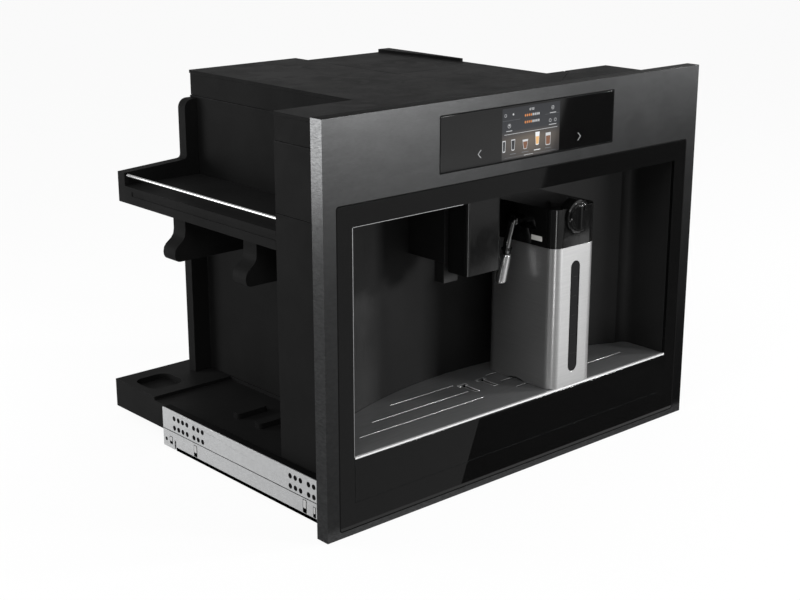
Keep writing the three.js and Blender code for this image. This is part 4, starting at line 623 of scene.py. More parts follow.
def rounded(left: float, right: float, low: float, high: float, radius: float, steps: int = 4) -> list[Point]:
    """Outline of a rectangle with round corners.

    Args:
        left: Lowest value across.
        right: Highest value across.
        low: Lowest value up.
        high: Highest value up.
        radius: Corner radius.
        steps: Faces in each corner.

    Returns:
        The points, anticlockwise.
    """
    corners = [(right - radius, high - radius, 0.0), (left + radius, high - radius, 0.5),
               (left + radius, low + radius, 1.0), (right - radius, low + radius, 1.5)]
    points = []
    for u, v, start in corners:
        for step in range(steps + 1):
            turn = math.pi * (start + 0.5 * step / steps)
            points.append((u + radius * math.cos(turn), v + radius * math.sin(turn)))
    return points


def circle(u: float, v: float, radius: float, sides: int = 24, squash: float = 1.0) -> list[Point]:
    """Returns the outline of a circle, or of an upright oval if squash is below 1."""
    turns = [2 * math.pi * i / sides for i in range(sides)]
    return [(u + radius * squash * math.cos(t), v + radius * math.sin(t)) for t in turns]


def smooth_route(points: Sequence[Sequence[float]], per_span: int) -> list[Vector]:
    """Curve through points.

    Args:
        points: Points in millimetres behind the front face.
        per_span: New points between two given ones.

    Returns:
        Points of the curve in millimetres.
    """
    given = [Vector(p) for p in points]
    padded = [2 * given[0] - given[1], *given, 2 * given[-1] - given[-2]]
    route = []
    for i in range(1, len(padded) - 2):
        a, b, c, d = padded[i - 1:i + 3]
        for step in range(per_span):
            t = step / per_span
            route.append(0.5 * (2 * b + (c - a) * t + (2 * a - 5 * b + 4 * c - d) * t ** 2
                                + (3 * b - a - 3 * c + d) * t ** 3))
    return [*route, given[-1]]


def put(name: str, data: Any) -> bpy.types.Object:
    """Returns a new object of the scene that holds the given mesh, light or camera."""
    made = bpy.data.objects.new(name, data)
    bpy.context.scene.collection.objects.link(made)
    return made


class Blank:
    """Mesh that is being built, in millimetres behind the front face."""

    def __init__(self) -> None:
        """Starts empty."""
        self.mesh = bmesh.new()

    def loft(self, rings: Sequence[Sequence[Vector]], caps: bool = True) -> "Blank":
        """Joins rings of points with faces.

        Args:
            rings: Rings with equal numbers of points.
            caps: Whether to close both ends.

        Returns:
            The blank itself.
        """
        rows = [[self.mesh.verts.new(at(*p)) for p in ring] for ring in rings]
        for low, high in zip(rows, rows[1:]):
            count = len(low)
            for i in range(count):
                self.mesh.faces.new((low[i], low[(i + 1) % count], high[(i + 1) % count], high[i]))
        if caps:
            self.mesh.faces.new(list(reversed(rows[0])))
            self.mesh.faces.new(rows[-1])
        return self

    def hoop(self, outlines: Sequence[tuple[Sequence[Point], float]]) -> "Blank":
        """Adds a closed hoop that faces the front.

        Args:
            outlines: Outlines in XZ round its section, each with its place along Y.

        Returns:
            The blank itself.
        """
        rings = [[Vector((u, y, v)) for u, v in outline] for outline, y in outlines]
        return self.loft([*rings, rings[0]], caps=False)

    def prism(self, outline: Sequence[Point], axis: Axis, start: float, end: float) -> "Blank":
        """Adds an outline pushed along an axis.

        Args:
            outline: Points in XY for Z, in XZ for Y and in YZ for X.
            axis: The axis to push along.
            start: Where it starts.
            end: Where it ends.

        Returns:
            The blank itself.
        """
        place = {
            Axis.X: lambda u, v, w: Vector((w, u, v)),
            Axis.Y: lambda u, v, w: Vector((u, w, v)),
            Axis.Z: lambda u, v, w: Vector((u, v, w)),
        }[axis]
        return self.loft([[place(u, v, w) for u, v in outline] for w in (start, end)])

    def box(self, x: Sequence[float], y: Sequence[float], z: Sequence[float]) -> "Blank":
        """Adds a block between two values on each axis."""
        return self.prism(square(*x, *y), Axis.Z, *z)

    def turned(self, profile: Sequence[Point], centre: Sequence[float], axis: Axis,
               sides: int = 40) -> "Blank":
        """Adds a body of revolution.

        Args:
            profile: Radius and place along the axis, from end to end.
            centre: Any point of the axis; its value along the axis is added to the places.
            axis: The axis of revolution.
            sides: Number of sides.

        Returns:
            The blank itself.
        """
        rings = []
        for radius, along in profile:
            ring = []
            for u, v in circle(0.0, 0.0, max(radius, 0.01), sides):
                offset = {Axis.X: (along, u, v), Axis.Y: (u, along, v), Axis.Z: (u, v, along)}[axis]
                ring.append(Vector(centre) + Vector(offset))
            rings.append(ring)
        return self.loft(rings)

    def tube(self, route: Sequence[Vector], radius: float, sides: int = 24) -> "Blank":
        """Adds a round tube along a route.

        Args:
            route: Points in millimetres behind the front face.
            radius: Radius of the tube.
            sides: Number of sides.

        Returns:
            The blank itself.
        """
        rings, side = [], None
        for i, point in enumerate(route):
            ahead = (route[min(i + 1, len(route) - 1)] - route[max(i - 1, 0)]).normalized()
            side = ahead.orthogonal() if side is None else side - ahead * side.dot(ahead)
            side = side.normalized()
            turns = [Matrix.Rotation(2 * math.pi * k / sides, 3, ahead) for k in range(sides)]
            rings.append([point + turn @ side * radius for turn in turns])
        return self.loft(rings)

    def made(self, name: str, edge: float = 0.0) -> bpy.types.Object:
        """Turns the blank into an object.

        Args:
            name: Name of the piece.
            edge: Width of the eased edges in millimetres, or 0 for none.

        Returns:
            The new object.
        """
        bmesh.ops.remove_doubles(self.mesh, verts=self.mesh.verts, dist=1e-8)
        bmesh.ops.recalc_face_normals(self.mesh, faces=self.mesh.faces)
        data = bpy.data.meshes.new(name)
        self.mesh.to_mesh(data)
        self.mesh.free()
        piece = put(name, data)
        ease(piece, edge)
        return piece


def ease(piece: bpy.types.Object, edge: float, steps: int = 2) -> None:
    """Rounds a piece's edges, marks the rounded faces and sets its shading.

    Args:
        piece: The object, at the origin.
        edge: Width of the eased edges in millimetres, or 0 for none.
        steps: Faces across each eased edge.
    """
    data = piece.data
    slots = [0] * len(data.polygons)
    if edge > 0:
        bevel = piece.modifiers.new("ease", "BEVEL")
        bevel.width = edge * MM
        bevel.segments = steps
        bevel.limit_method = "ANGLE"
        bevel.angle_limit = math.radians(EASED_ABOVE)
        bevel.material = 1
        for _ in range(2):
            data.materials.append(None)
        settle(piece)
        data = piece.data
        slots = [0] * len(data.polygons)
        data.polygons.foreach_get("material_index", slots)
        data.polygons.foreach_set("material_index", [0] * len(slots))
    data.attributes.new(EASED, "FLOAT", "FACE").data.foreach_set("value", [float(slot) for slot in slots])
    data.polygons.foreach_set("use_smooth", [True] * len(data.polygons))
    shade_corners(data, [slot > 0 for slot in slots], math.cos(math.radians(SHARP_ABOVE)))


def shade_corners(data: bpy.types.Mesh, eased: Sequence[bool], limit: float) -> None:
    """Sets corner normals so that flat faces stay flat and eased edges turn between them.

    Args:
        data: The mesh.
        eased: For each face, whether it belongs to an eased edge.
        limit: Cosine of the angle under which plain faces shade as one.
    """
    around: list[list[int]] = [[] for _ in data.vertices]
    for face in data.polygons:
        for vertex in face.vertices:
            around[vertex].append(face.index)
    normals = [face.normal.copy() for face in data.polygons]
    areas = [face.area for face in data.polygons]
    corners = []
    for face in data.polygons:
        own = normals[face.index]
        for vertex in face.vertices:
            plain = [i for i in around[vertex] if not eased[i]]
            if not plain:
                total = sum((normals[i] for i in around[vertex]), Vector())
            else:
                base = own
                if eased[face.index]:
                    base = normals[max(plain, key=lambda i: normals[i].dot(own))]
                total = sum((normals[i] * areas[i] for i in plain if normals[i].dot(base) > limit), Vector())
            corners.append(total.normalized() if total.length > 0 else own)
    data.normals_split_custom_set(corners)


def settle(piece: bpy.types.Object) -> None:
    """Applies a piece's modifiers to its mesh."""
    graph = bpy.context.evaluated_depsgraph_get()
    graph.update()
    shaped = bpy.data.meshes.new_from_object(
        piece.evaluated_get(graph), preserve_all_data_layers=True, depsgraph=graph
    )
    piece.modifiers.clear()
    piece.data = shaped


class Fitter:
    """Puts finished pieces on the machine's bodies."""

    def __init__(self, frame: dict[str, Any]) -> None:
        """Keeps the frame's CAD nodes.
        """
        self.nodes = frame["nodes"]

    def fit(self, piece: bpy.types.Object, finish: Finish, body: str, *nodes: str) -> None:
        """Gives a piece its finish and its body.

        Args:
            piece: The object, in place.
            finish: Its finish.
            body: The body that it rides on.
            *nodes: CAD nodes that it stands for.
        """
        piece.data.materials.clear()
        piece.data.materials.append(finish.material())
        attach(piece, body)
        if nodes:
            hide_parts(*nodes)
        LOG.info("%s rides on %s, %d faces", piece.name, body, len(piece.data.polygons))

    def skin(self, node: str, finish: Finish, edge: float, steps: int = 2) -> None:
        """Replaces a CAD node by the same shape with eased edges.

        Args:
            node: Name of the CAD node.
            finish: Its finish.
            edge: Width of the eased edges in millimetres.
            steps: Faces across each eased edge.
        """
        source = self.nodes[node]
        draft = bmesh.new()
        draft.from_mesh(source.data)
        bmesh.ops.remove_doubles(draft, verts=draft.verts, dist=2e-6)
        bmesh.ops.join_triangles(
            draft, faces=draft.faces, angle_face_threshold=math.radians(0.5), angle_shape_threshold=math.pi,
        )
        bmesh.ops.recalc_face_normals(draft, faces=draft.faces)
        data = bpy.data.meshes.new(f"{node}_skin")
        draft.to_mesh(data)
        draft.free()
        piece = put(f"{node}_skin", data)
        ease(piece, edge, steps)
        self.fit(piece, finish, source["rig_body"], node)


@dataclass
class Part:
    """Sub-assembly of the machine that dresses its own pieces."""

    fitter: Fitter
    skins: ClassVar[tuple[tuple[Any, ...], ...]] = ()

    def build(self) -> None:
        """Dresses the CAD pieces that skins lists with their finish and eased edges, and adds the details."""
        for skin in self.skins:
            self.fitter.skin(*skin)
        self.details()

    def details(self) -> None:
        """Adds what the CAD pieces lack."""


# ------------------------------------------------------------------ the front
@dataclass
class DisplayFace(Part):
    """Lit picture behind the control glass: generic drinks, bean rows, a clock and thin rules.

    Places on it are shares of its width and of its height from the top; widths are millimetres.
    """

    layer: float = 0.03
    ink: float = 0.02
    rules: tuple[tuple[float, ...], ...] = (
        (0.01, 0.3, 0.24, 0.2), (0.74, 0.99, 0.23, 0.2), (0.05, 0.95, 0.967, 0.25),
    )
    shelf: tuple[float, ...] = (0.04, 0.96, 0.51, 0.45)
    bean_start: float = 0.392
    bean_pitch: float = 0.0335
    bean_rows: tuple[float, ...] = (0.186, 0.319)
    bean_tall: float = 1.55
    bean_squash: float = 0.62
    drinks: tuple[tuple[float, ...], ...] = (
        (0.035, 0.62, 0.85, 5.0, 4.4), (0.19, 0.62, 0.84, 6.4, 4.6), (0.40, 0.66, 0.85, 9.0, 5.4),
        (0.80, 0.60, 0.85, 8.4, 7.6),
    )
    hollows: tuple[tuple[float, ...], ...] = ((0.035, 0.64, 0.83, 3.6, 3.0), (0.19, 0.64, 0.82, 5.2, 3.6))
    coffees: tuple[tuple[float, ...], ...] = ((0.40, 0.70, 0.84, 7.4, 4.4), (0.80, 0.66, 0.835, 7.2, 6.4))
    latte: tuple[float, ...] = (0.61, 0.64, 0.795, 5.6, 4.2)
    chosen: tuple[float, ...] = (0.61, 0.55, 0.81, 7.0, 5.0)
    chosen_bars: tuple[tuple[float, ...], ...] = ((0.555, 0.665, 0.905, 0.9), (0.38, 0.54, 0.967, 0.5))
    labels: tuple[Point, ...] = ((0.19, 0.05), (0.40, 0.06), (0.80, 0.05))

    def spot(self, u: float, v: float) -> Point:
        """Returns X and Z of a place."""
        return (-SCREEN_HALF + 2 * SCREEN_HALF * u, SCREEN_HIGH - (SCREEN_HIGH - SCREEN_LOW) * v)

    def print_on(self, name: str, shapes: Iterable[Sequence[Point]], finish: Finish, layer: int = 2) -> None:
        """Adds one print.

        Args:
            name: Name of the piece.
            shapes: Outlines in X and Z.
            finish: The print's finish.
            layer: How many layers it stands in front of the glass.
        """
        front = -self.layer * layer
        blank = Blank()
        for outline in shapes:
            blank.prism(outline, Axis.Y, front, front + self.ink)
        self.fitter.fit(blank.made(name), finish, "machine")

    def bar(self, u0: float, u1: float, v: float, tall: float) -> list[Point]:
        """Returns the outline of a thin level bar between two shares of the width."""
        (x0, z), (x1, _) = self.spot(u0, v), self.spot(u1, v)
        return square(x0, x1, z - tall / 2, z + tall / 2)

    def ring(self, u: float, v: float, radius: float, line: float = 0.4,
             sides: int = 16) -> list[list[Point]]:
        """Returns the short bars that make up a ring."""
        x, z = self.spot(u, v)
        pieces = []
        for i in range(sides):
            a, b = (2 * math.pi * (i + k) / sides for k in (0, 1))
            pieces.append([(x + r * math.cos(t), z + r * math.sin(t))
                           for r, t in ((radius, a), (radius, b), (radius - line, b), (radius - line, a))])
        return pieces

    def digits(self, u: float, v: float, text: str, tall: float = 2.6) -> list[list[Point]]:
        """Clock figures made of short bars.

        Args:
            u: Share of the width at their middle.
            v: Share of the height at their middle.
            text: Figures from 0 to 3 and a colon.
            tall: Height in millimetres.

        Returns:
            The outlines.
        """
        wide, line, half = tall * 0.5, tall * 0.16, tall / 2
        lit = {"0": "abcdef", "1": "bc", "2": "abged", "3": "abgcd"}
        x, z = self.spot(u, v)
        x -= len(text) * wide * 1.5 / 2
        shapes = []
        for mark in text:
            if mark == ":":
                shapes += [square(x, x + line, z + lift, z + lift + line) for lift in (half / 2, -half / 2)]
                x += wide * 0.8
                continue
            bars = {
                "a": (x, x + wide, z + half - line, z + half), "d": (x, x + wide, z - half, z - half + line),
                "g": (x, x + wide, z - line / 2, z + line / 2),
                "b": (x + wide - line, x + wide, z, z + half), "c": (x + wide - line, x + wide, z - half, z),
                "f": (x, x + line, z, z + half), "e": (x, x + line, z - half, z),
            }
            shapes += [square(*bars[key]) for key in lit[mark]]
            x += wide * 1.5
        return shapes

    def vessel(self, u: float, v0: float, v1: float, wide: float, foot: float) -> list[Point]:
        """Returns the outline of a drinking vessel that narrows to its foot."""
        (x, z1), (_, z0), cut = self.spot(u, v0), self.spot(u, v1), 0.8
        return [(x - wide / 2, z1), (x - foot / 2, z0 + cut), (x - foot / 2 + cut, z0),
                (x + foot / 2 - cut, z0), (x + foot / 2, z0 + cut), (x + wide / 2, z1)]

    def beans(self, first: int, last: int) -> list[list[Point]]:
        """Returns the ovals of some columns in both bean rows."""
        columns = [self.bean_start + self.bean_pitch * i for i in range(first, last)]
        return [circle(*self.spot(u, v), self.bean_tall, 12, self.bean_squash)
                for v in self.bean_rows for u in columns]

    def details(self) -> None:
        """Adds the backlight and every print in front of it."""
        edge = rounded(-SCREEN_HALF, SCREEN_HALF, SCREEN_LOW, SCREEN_HIGH, 0.8)
        marks = [*self.ring(0.055, 0.136, 1.7), circle(*self.spot(0.185, 0.129), 1.2, 12),
                 *self.ring(0.12, 0.345, 2.4), circle(*self.spot(0.12, 0.335), 0.9, 12),
                 *self.ring(0.87, 0.111, 2.2), self.bar(0.855, 0.885, 0.111, 0.5),
                 *self.ring(0.83, 0.362, 1.9), *self.ring(0.92, 0.362, 1.9),
                 self.bar(0.07, 0.17, 0.445, 0.7), self.bar(0.82, 0.93, 0.213, 0.7),
                 self.bar(0.81, 0.94, 0.447, 0.7), *self.digits(0.504, 0.076, "12:30")]
        chosen = [self.vessel(*self.chosen), *(self.bar(*place) for place in self.chosen_bars)]
        labels = [self.bar(u - half, u + half, 0.905, 0.7) for u, half in self.labels]
        for name, shapes, finish, layer in (
            ("backlight_area", [edge], Finishes.SCREEN, 1),
            ("rules", [self.bar(*place) for place in self.rules], Finishes.PRINT_DIM, 2),
            ("shelf_line", [self.bar(*self.shelf)], Finishes.PRINT_PALE, 2),
            ("marks", marks, Finishes.PRINT_PALE, 2),
            ("beans_chosen", self.beans(0, 4), Finishes.PRINT_AMBER, 2),
            ("beans_free", self.beans(4, 8), Finishes.PRINT_PALE, 2),
            ("drinks", [self.vessel(*place) for place in self.drinks], Finishes.PRINT_PALE, 2),
            ("drink_hollows", [self.vessel(*place) for place in self.hollows], Finishes.PRINT_DARK, 3),
            ("coffee_fills", [self.vessel(*place) for place in self.coffees], Finishes.PRINT_BROWN, 3),
            ("latte_fill", [self.vessel(*self.latte)], Finishes.PRINT_CREAM, 3),
            ("chosen_drink", chosen, Finishes.PRINT_WHITE, 2),
            ("labels", labels, Finishes.PRINT_DIM, 2),
        ):
            self.print_on(f"display_{name}", shapes, finish, layer)


@dataclass
class FrontFace(Part):
    """Front frame with its two glasses and the control panel behind the upper one."""

    arrow_x: float = 80.0
    arrow_z: float = 392.4
    arrow_tall: float = 9.0
    arrow_line: float = 0.9
    arrow_reach: float = 2.3
    joint_shade_wide: float = 0.9
    joint_shade_lap: float = 0.4
    joint_shade_proud: float = 0.03
    joint_shade_deep: float = 0.3
    control_joint_shade: tuple[float, ...] = (139.0, 378.8, 440.0, 0.8)
    door_joint_shade: tuple[float, ...] = (281.0, 7.8, 364.2, 3.0)
    niche_half: float = 260.0
    niche_low: float = 88.6
    niche_high: float = 340.0
    skins = (
        ("front_frame", Finishes.FRAME, 0.8, 3), ("control_glass", Finishes.GLASS, 0.4),
        ("door_glass", Finishes.GLASS, 0.45), ("control_carrier", Finishes.INNER, 0.4),
        ("display_module", Finishes.INNER, 0.5), ("control_board", Finishes.BOARD, 0.2),
    )

    def arrow(self, side: int) -> list[list[Point]]:
        """Returns the two strokes of a touch arrow that points away from the display."""
        tip = side * (self.arrow_x + self.arrow_reach)
        tail = side * (self.arrow_x - self.arrow_reach)
        line = side * self.arrow_line
        half = self.arrow_tall / 2
        return [[(tail, self.arrow_z + lift * half), (tail + line, self.arrow_z + lift * half),
                 (tip + line, self.arrow_z), (tip, self.arrow_z)] for lift in (-1, 1)]

    def joint(self, name: str, half: float, low: float, high: float, corner: float) -> None:
        """Adds the black jointing round one of the glasses, a dark band that is partly real jointing and
        partly painted shade of the gap.

        Args:
            name: Name of the piece.
            half: Half the glass's width.
            low: Its lower edge.
            high: Its upper edge.
            corner: Its corner radius.
        """
        # a dark band round the glass: painted shade of the gap, partly real jointing
        inner, outer = (rounded(-half - out, half + out, low - out, high + out, corner + out, 6)
                        for out in (-self.joint_shade_lap, self.joint_shade_wide))
        section = ((inner, self.joint_shade_deep), (inner, -self.joint_shade_proud), (outer, -self.joint_shade_proud),
                   (outer, self.joint_shade_deep))
        self.fitter.fit(Blank().hoop(section).made(name), Finishes.GASKET_AND_PAINTED_SHADE, "machine")

    def niche_edge_highlight(self) -> None:
        """Adds a painted highlight: a metal strip for the bright ground edge of the door glass along the
        niche's left and top.
        """
        half, low, high = self.niche_half, self.niche_low, self.niche_high
        # a metal strip standing in for the bright glass edge: a painted highlight
        line = Blank()
        for x0, x1, z0, z1 in ((-half - 0.7, -half, low, high), (-half, -0.4 * half, high, high + 0.5)):
            line.box((x0, x1), (-0.04, 0.4), (z0, z1))
        self.fitter.fit(line.made("door_glass_niche_edge_highlight"), Finishes.TRAY, "machine")

    def build(self) -> None:
        """Adds the joints, dark with the painted shade of their gaps, and the painted highlight on the
        niche's edge, then dresses the face.
        """
        self.joint("control_glass_joint_shade", *self.control_joint_shade)
        self.joint("door_glass_joint_shade", *self.door_joint_shade)
        self.niche_edge_highlight()
        super().build()

    def details(self) -> None:
        """Adds the display and its arrows."""
        face = DisplayFace(self.fitter)
        face.build()
        face.print_on("touch_arrows", [*self.arrow(-1), *self.arrow(1)], Finishes.PRINT_PALE)


@dataclass
class NicheSet(Part):
    """Cup niche with its drip tray, grid and float, the spout guide and the hot water outlet."""

    grid_half: float = 259.3
    grid_top: float = 88.6
    grid_thick: float = 2.3
    key_slots: tuple[float, float] = (-19.0, 12.0)
    key_front: float = 59.0
    key_rear: float = 88.0
    key_wide: float = 5.0
    head_wide: float = 13.0
    lip: float = 0.8
    slot_rows: tuple[Point, ...] = ((38.6, 220.0), (64.5, 180.0), (91.0, 129.0))
    slot_inner: float = 28.0
    slot_wide: float = 2.0
    seam_x: float = 150.0
    skins = (
        ("niche_liner", Finishes.NICHE, 0.9, 3), ("drip_tray", Finishes.INNER, 0.6),
        ("drip_tray_front", Finishes.GLASS, 0.45), ("drip_grid", Finishes.TRAY, 0.35),
        ("tray_float", Finishes.WHITE, 0.7), ("float_rest", Finishes.INNER, 0.3),
        ("spout_guide", Finishes.NICHE, 0.8), ("hot_water_outlet", Finishes.NICHE, 1.2, 3),
        ("steam_connector", Finishes.NICHE, 1.0),
    )

    def edge_strip(self) -> None:
        """Adds the bright folded edge along the front of the grid."""
        foot = self.grid_top - self.grid_thick + 0.15
        profile = [(-0.1, foot), (0.9, foot), (2.4, self.grid_top + 0.04), (0.5, self.grid_top + 0.06),
                   (-0.1, self.grid_top - 0.4)]
        strip = Blank().prism(profile, Axis.X, -self.grid_half, self.grid_half)
        self.fitter.fit(strip.made("grid_front_edge"), Finishes.BRIGHT_AND_PAINTED_HIGHLIGHT, "drip_tray_body")

    def slot_lips(self) -> None:
        """Adds the bright pressed lips round the keyed slots of the grid; their pale finish is partly a
        painted highlight.
        """
        lips = Blank()
        height = (self.grid_top - 0.3, self.grid_top + 0.22)
        stem, head, lip = self.key_wide / 2, self.head_wide / 2, self.lip
        front, rear, neck = self.key_front, self.key_rear, self.key_rear - self.key_wide
        for x in self.key_slots:
            for near, far, start, end in (
                (stem, stem + lip, front - lip, neck), (-stem, stem, front - lip, front),
                (-head - lip, head + lip, rear, rear + lip), (head, head + lip, neck - lip, rear),
                (stem + lip, head, neck - lip, neck),
            ):
                for side in (-1, 1) if near > 0 else (1,):
                    lips.box(sorted((x + side * near, x + side * far)), (start, end), height)
        self.fitter.fit(lips.made("keyed_slot_lips", 0.12), Finishes.BRIGHT_AND_PAINTED_HIGHLIGHT, "drip_tray_body")

    def slot_rim_highlights(self) -> None:
        """Adds bright strips along the drain slots of the grid: painted highlights where the slot edges catch
        the light.
        """
        # thin bright strips along the slot edges: painted highlights
        rim_highlights = Blank()
        for y, end in self.slot_rows:
            rear = y + self.slot_wide / 2
            for side in (-1, 1):
                ends = sorted((side * self.slot_inner, side * end))
                rim_highlights.box(ends, (rear, rear + 0.7), (self.grid_top - 0.3, self.grid_top + 0.12))
        self.fitter.fit(rim_highlights.made("drain_slot_rim_highlights", 0.1), Finishes.BRIGHT_AND_PAINTED_HIGHLIGHT, "drip_tray_body")

    def details(self) -> None:
        """Adds the grid's edge, its lips, the painted highlights along the drain slots, and the seam at the
        niche's top.
        """
        self.edge_strip()
        self.slot_lips()
        self.slot_rim_highlights()
        seam = Blank().box((self.seam_x - 0.35, self.seam_x + 0.35), (103.4, 108.0), (331.0, 339.6))
        self.fitter.fit(seam.made("niche_seam_strip", 0.1), Finishes.RUBBER, "machine")


@dataclass
class CoffeeSpout(Part):
    """Height-adjustable coffee spout with its two nozzles."""

    x: float = -40.5
    y: float = 47.0
    bottom: float = 245.0
    spread: float = 24.0
    sleeve: tuple[Point, ...] = ((3.2, 2.9), (3.4, 2.4), (5.2, 2.2), (5.7, 2.8), (5.7, 9.0), (5.1, 9.4))
    skins = (("coffee_spout", Finishes.POLISHED, 1.3, 4),)

    def details(self) -> None:
        """Adds steel sleeves round the nozzles."""
        sleeves = Blank()
        for side in (-1, 1):
            sleeves.turned(self.sleeve, (self.x + side * self.spread / 2, self.y, self.bottom), Axis.Z, 28)
        self.fitter.fit(sleeves.made("nozzle_sleeves"), Finishes.BRIGHT_AND_PAINTED_HIGHLIGHT, "coffee_spout_body")


@dataclass
class MilkCarafe(Part):
    """Brushed steel milk carafe with sight window, lid, froth knob and swivelling milk spout."""

    left: float = 45.5
    centre_x: float = 82.25
    knob_z: float = 297.5
    arm_y: float = 60.0
    arm_z: float = 289.0
    window_half: float = 7.8
    window_low: float = 106.0
    window_high: float = 244.0
    mark_low: float = 128.0
    mark_pitch: float = 24.0
    mark_half: float = 3.2
    mark_count: int = 5
    knob_profile: tuple[Point, ...] = (
        (0.0, 12.0), (19.4, 12.0), (20.0, 11.4), (20.0, -2.8), (19.2, -3.8), (17.2, -4.0), (16.9, -4.3),
        (16.9, -6.0), (16.2, -6.6), (0.0, -6.7),
    )
    grip: tuple[Triple, ...] = ((-6.4, 6.0, 16.6), (-8.4, 5.2, 16.2), (-9.6, 4.2, 15.6), (-10.0, 2.6, 14.6))
    collar: tuple[Point, ...] = ((0.0, -9.0), (5.2, -9.0), (6.6, -8.0), (7.0, -6.6), (7.0, 5.9), (0.0, 5.9))
    bends: tuple[Point, ...] = ((0.0, 0.0), (9.0, 2.1), (13.2, 12.6), (17.4, 25.2), (19.5, 37.8))
    tube_radius: float = 4.7
    tip_reach: Triple = (-8.4, 0.0, -34.0)
    tip_profile: tuple[Point, ...] = (
        (0.0, 5.0), (0.02, 6.1), (0.06, 6.8), (0.12, 7.0), (0.94, 7.0), (0.98, 6.7), (1.0, 6.1),
    )
    skins = (
        ("milk_carafe", Finishes.STEEL, 0.35), ("carafe_floor", Finishes.STEEL, 0.3),
        ("sight_window", Finishes.PANE, 0.3), ("carafe_lid", Finishes.POLISHED, 2.0, 4),
        ("milk_pickup_tube", Finishes.WHITE, 0.3),
    )

    def window_outline(self, inset: float) -> list[Point]:
        """Returns the sight window's outline, drawn in by an inset."""
        half = self.window_half - inset
        return rounded(self.centre_x - half, self.centre_x + half, self.window_low + inset,
                       self.window_high - inset, half - 0.1, 8)

    def window(self) -> None:
        """Adds the rim of the sight window and its level marks."""
        outer, inner = self.window_outline(0.3), self.window_outline(1.2)
        rim = Blank().hoop(((outer, 0.9), (outer, 0.0), (inner, 0.15), (inner, 0.9)))
        self.fitter.fit(rim.made("window_rim"), Finishes.GASKET_AND_PAINTED_SHADE, "carafe_body")
        marks = Blank()
        for i in range(self.mark_count):
            z = self.mark_low + self.mark_pitch * i
            marks.prism(square(self.centre_x - self.mark_half, self.centre_x + self.mark_half, z, z + 0.7),
                        Axis.Y, 0.24, 0.29)
        self.fitter.fit(marks.made("window_level_marks"), Finishes.INNER, "carafe_body")

    def knob(self) -> None:
        """Adds the froth knob: a skirt, a raised disc, a grip ridge and its pointer mark."""
        knob = Blank().turned(self.knob_profile, (self.centre_x, 0.0, self.knob_z), Axis.Y, 56)
        rows = []
        for y, wide, tall in self.grip:
            outline = rounded(self.centre_x - wide, self.centre_x + wide, self.knob_z - tall,
                              self.knob_z + tall, wide * 0.6, 5)
            rows.append([Vector((u, y, v)) for u, v in outline])
        knob.loft(rows)
        self.fitter.fit(knob.made("froth_knob_turned"), Finishes.POLISHED, "knob_body", "froth_knob")
        pointer = square(self.centre_x - 0.7, self.centre_x + 0.7, self.knob_z + 9.0, self.knob_z + 14.0)
        mark = Blank().prism(pointer, Axis.Y, -10.0, -9.6)
        self.fitter.fit(mark.made("knob_pointer"), Finishes.WHITE, "knob_body")

    def spout(self) -> None:
        """Adds the milk spout: its collar, the bent chrome tube, a ring with a tab, and the steel tip."""
        stations = [(self.left - out, self.arm_y, self.arm_z - down) for out, down in self.bends]
        route = smooth_route(stations, 10)
        tube = Blank().turned(self.collar, (self.left, self.arm_y, self.arm_z), Axis.X, 36)
        tube.tube(route, self.tube_radius)
        self.fitter.fit(tube.made("milk_spout_tube"), Finishes.DARK_CHROME, "milk_spout_body", "milk_spout")
        end = route[-1]
        rows = []
        for share, radius in self.tip_profile:
            middle = end + Vector((0.0, 0.0, -0.3)) + Vector(self.tip_reach) * share
            rows.append([Vector((x, y, middle.z)) for x, y in circle(middle.x, middle.y, radius, 36)])
        tip = Blank().loft(rows)
        self.fitter.fit(tip.made("milk_spout_sleeve"), Finishes.SLEEVE, "milk_spout_body", "milk_spout_tip")
        ring = Blank().turned([(4.8, -1.6), (6.2, -1.4), (6.2, 1.4), (4.8, 1.6)],
                              (end.x + 0.4, self.arm_y, end.z + 5.0), Axis.Z, 28)
        ring.box((end.x + 4.5, end.x + 9.0), (self.arm_y - 1.6, self.arm_y + 1.6), (end.z + 4.0, end.z + 5.6))
        self.fitter.fit(ring.made("milk_tube_ring", 0.3), Finishes.POLISHED, "milk_spout_body")

    def details(self) -> None:
        """Adds the window's rim, the knob, the spout and the lid's tag."""
        self.window()
        self.knob()
        self.spout()
        tag = Blank().prism(rounded(21.0, 38.0, 269.0, 275.0, 0.6), Axis.X, self.left - 0.25, self.left + 0.3)
        self.fitter.fit(tag.made("lid_side_tag"), Finishes.WHITE, "carafe_lid_body")


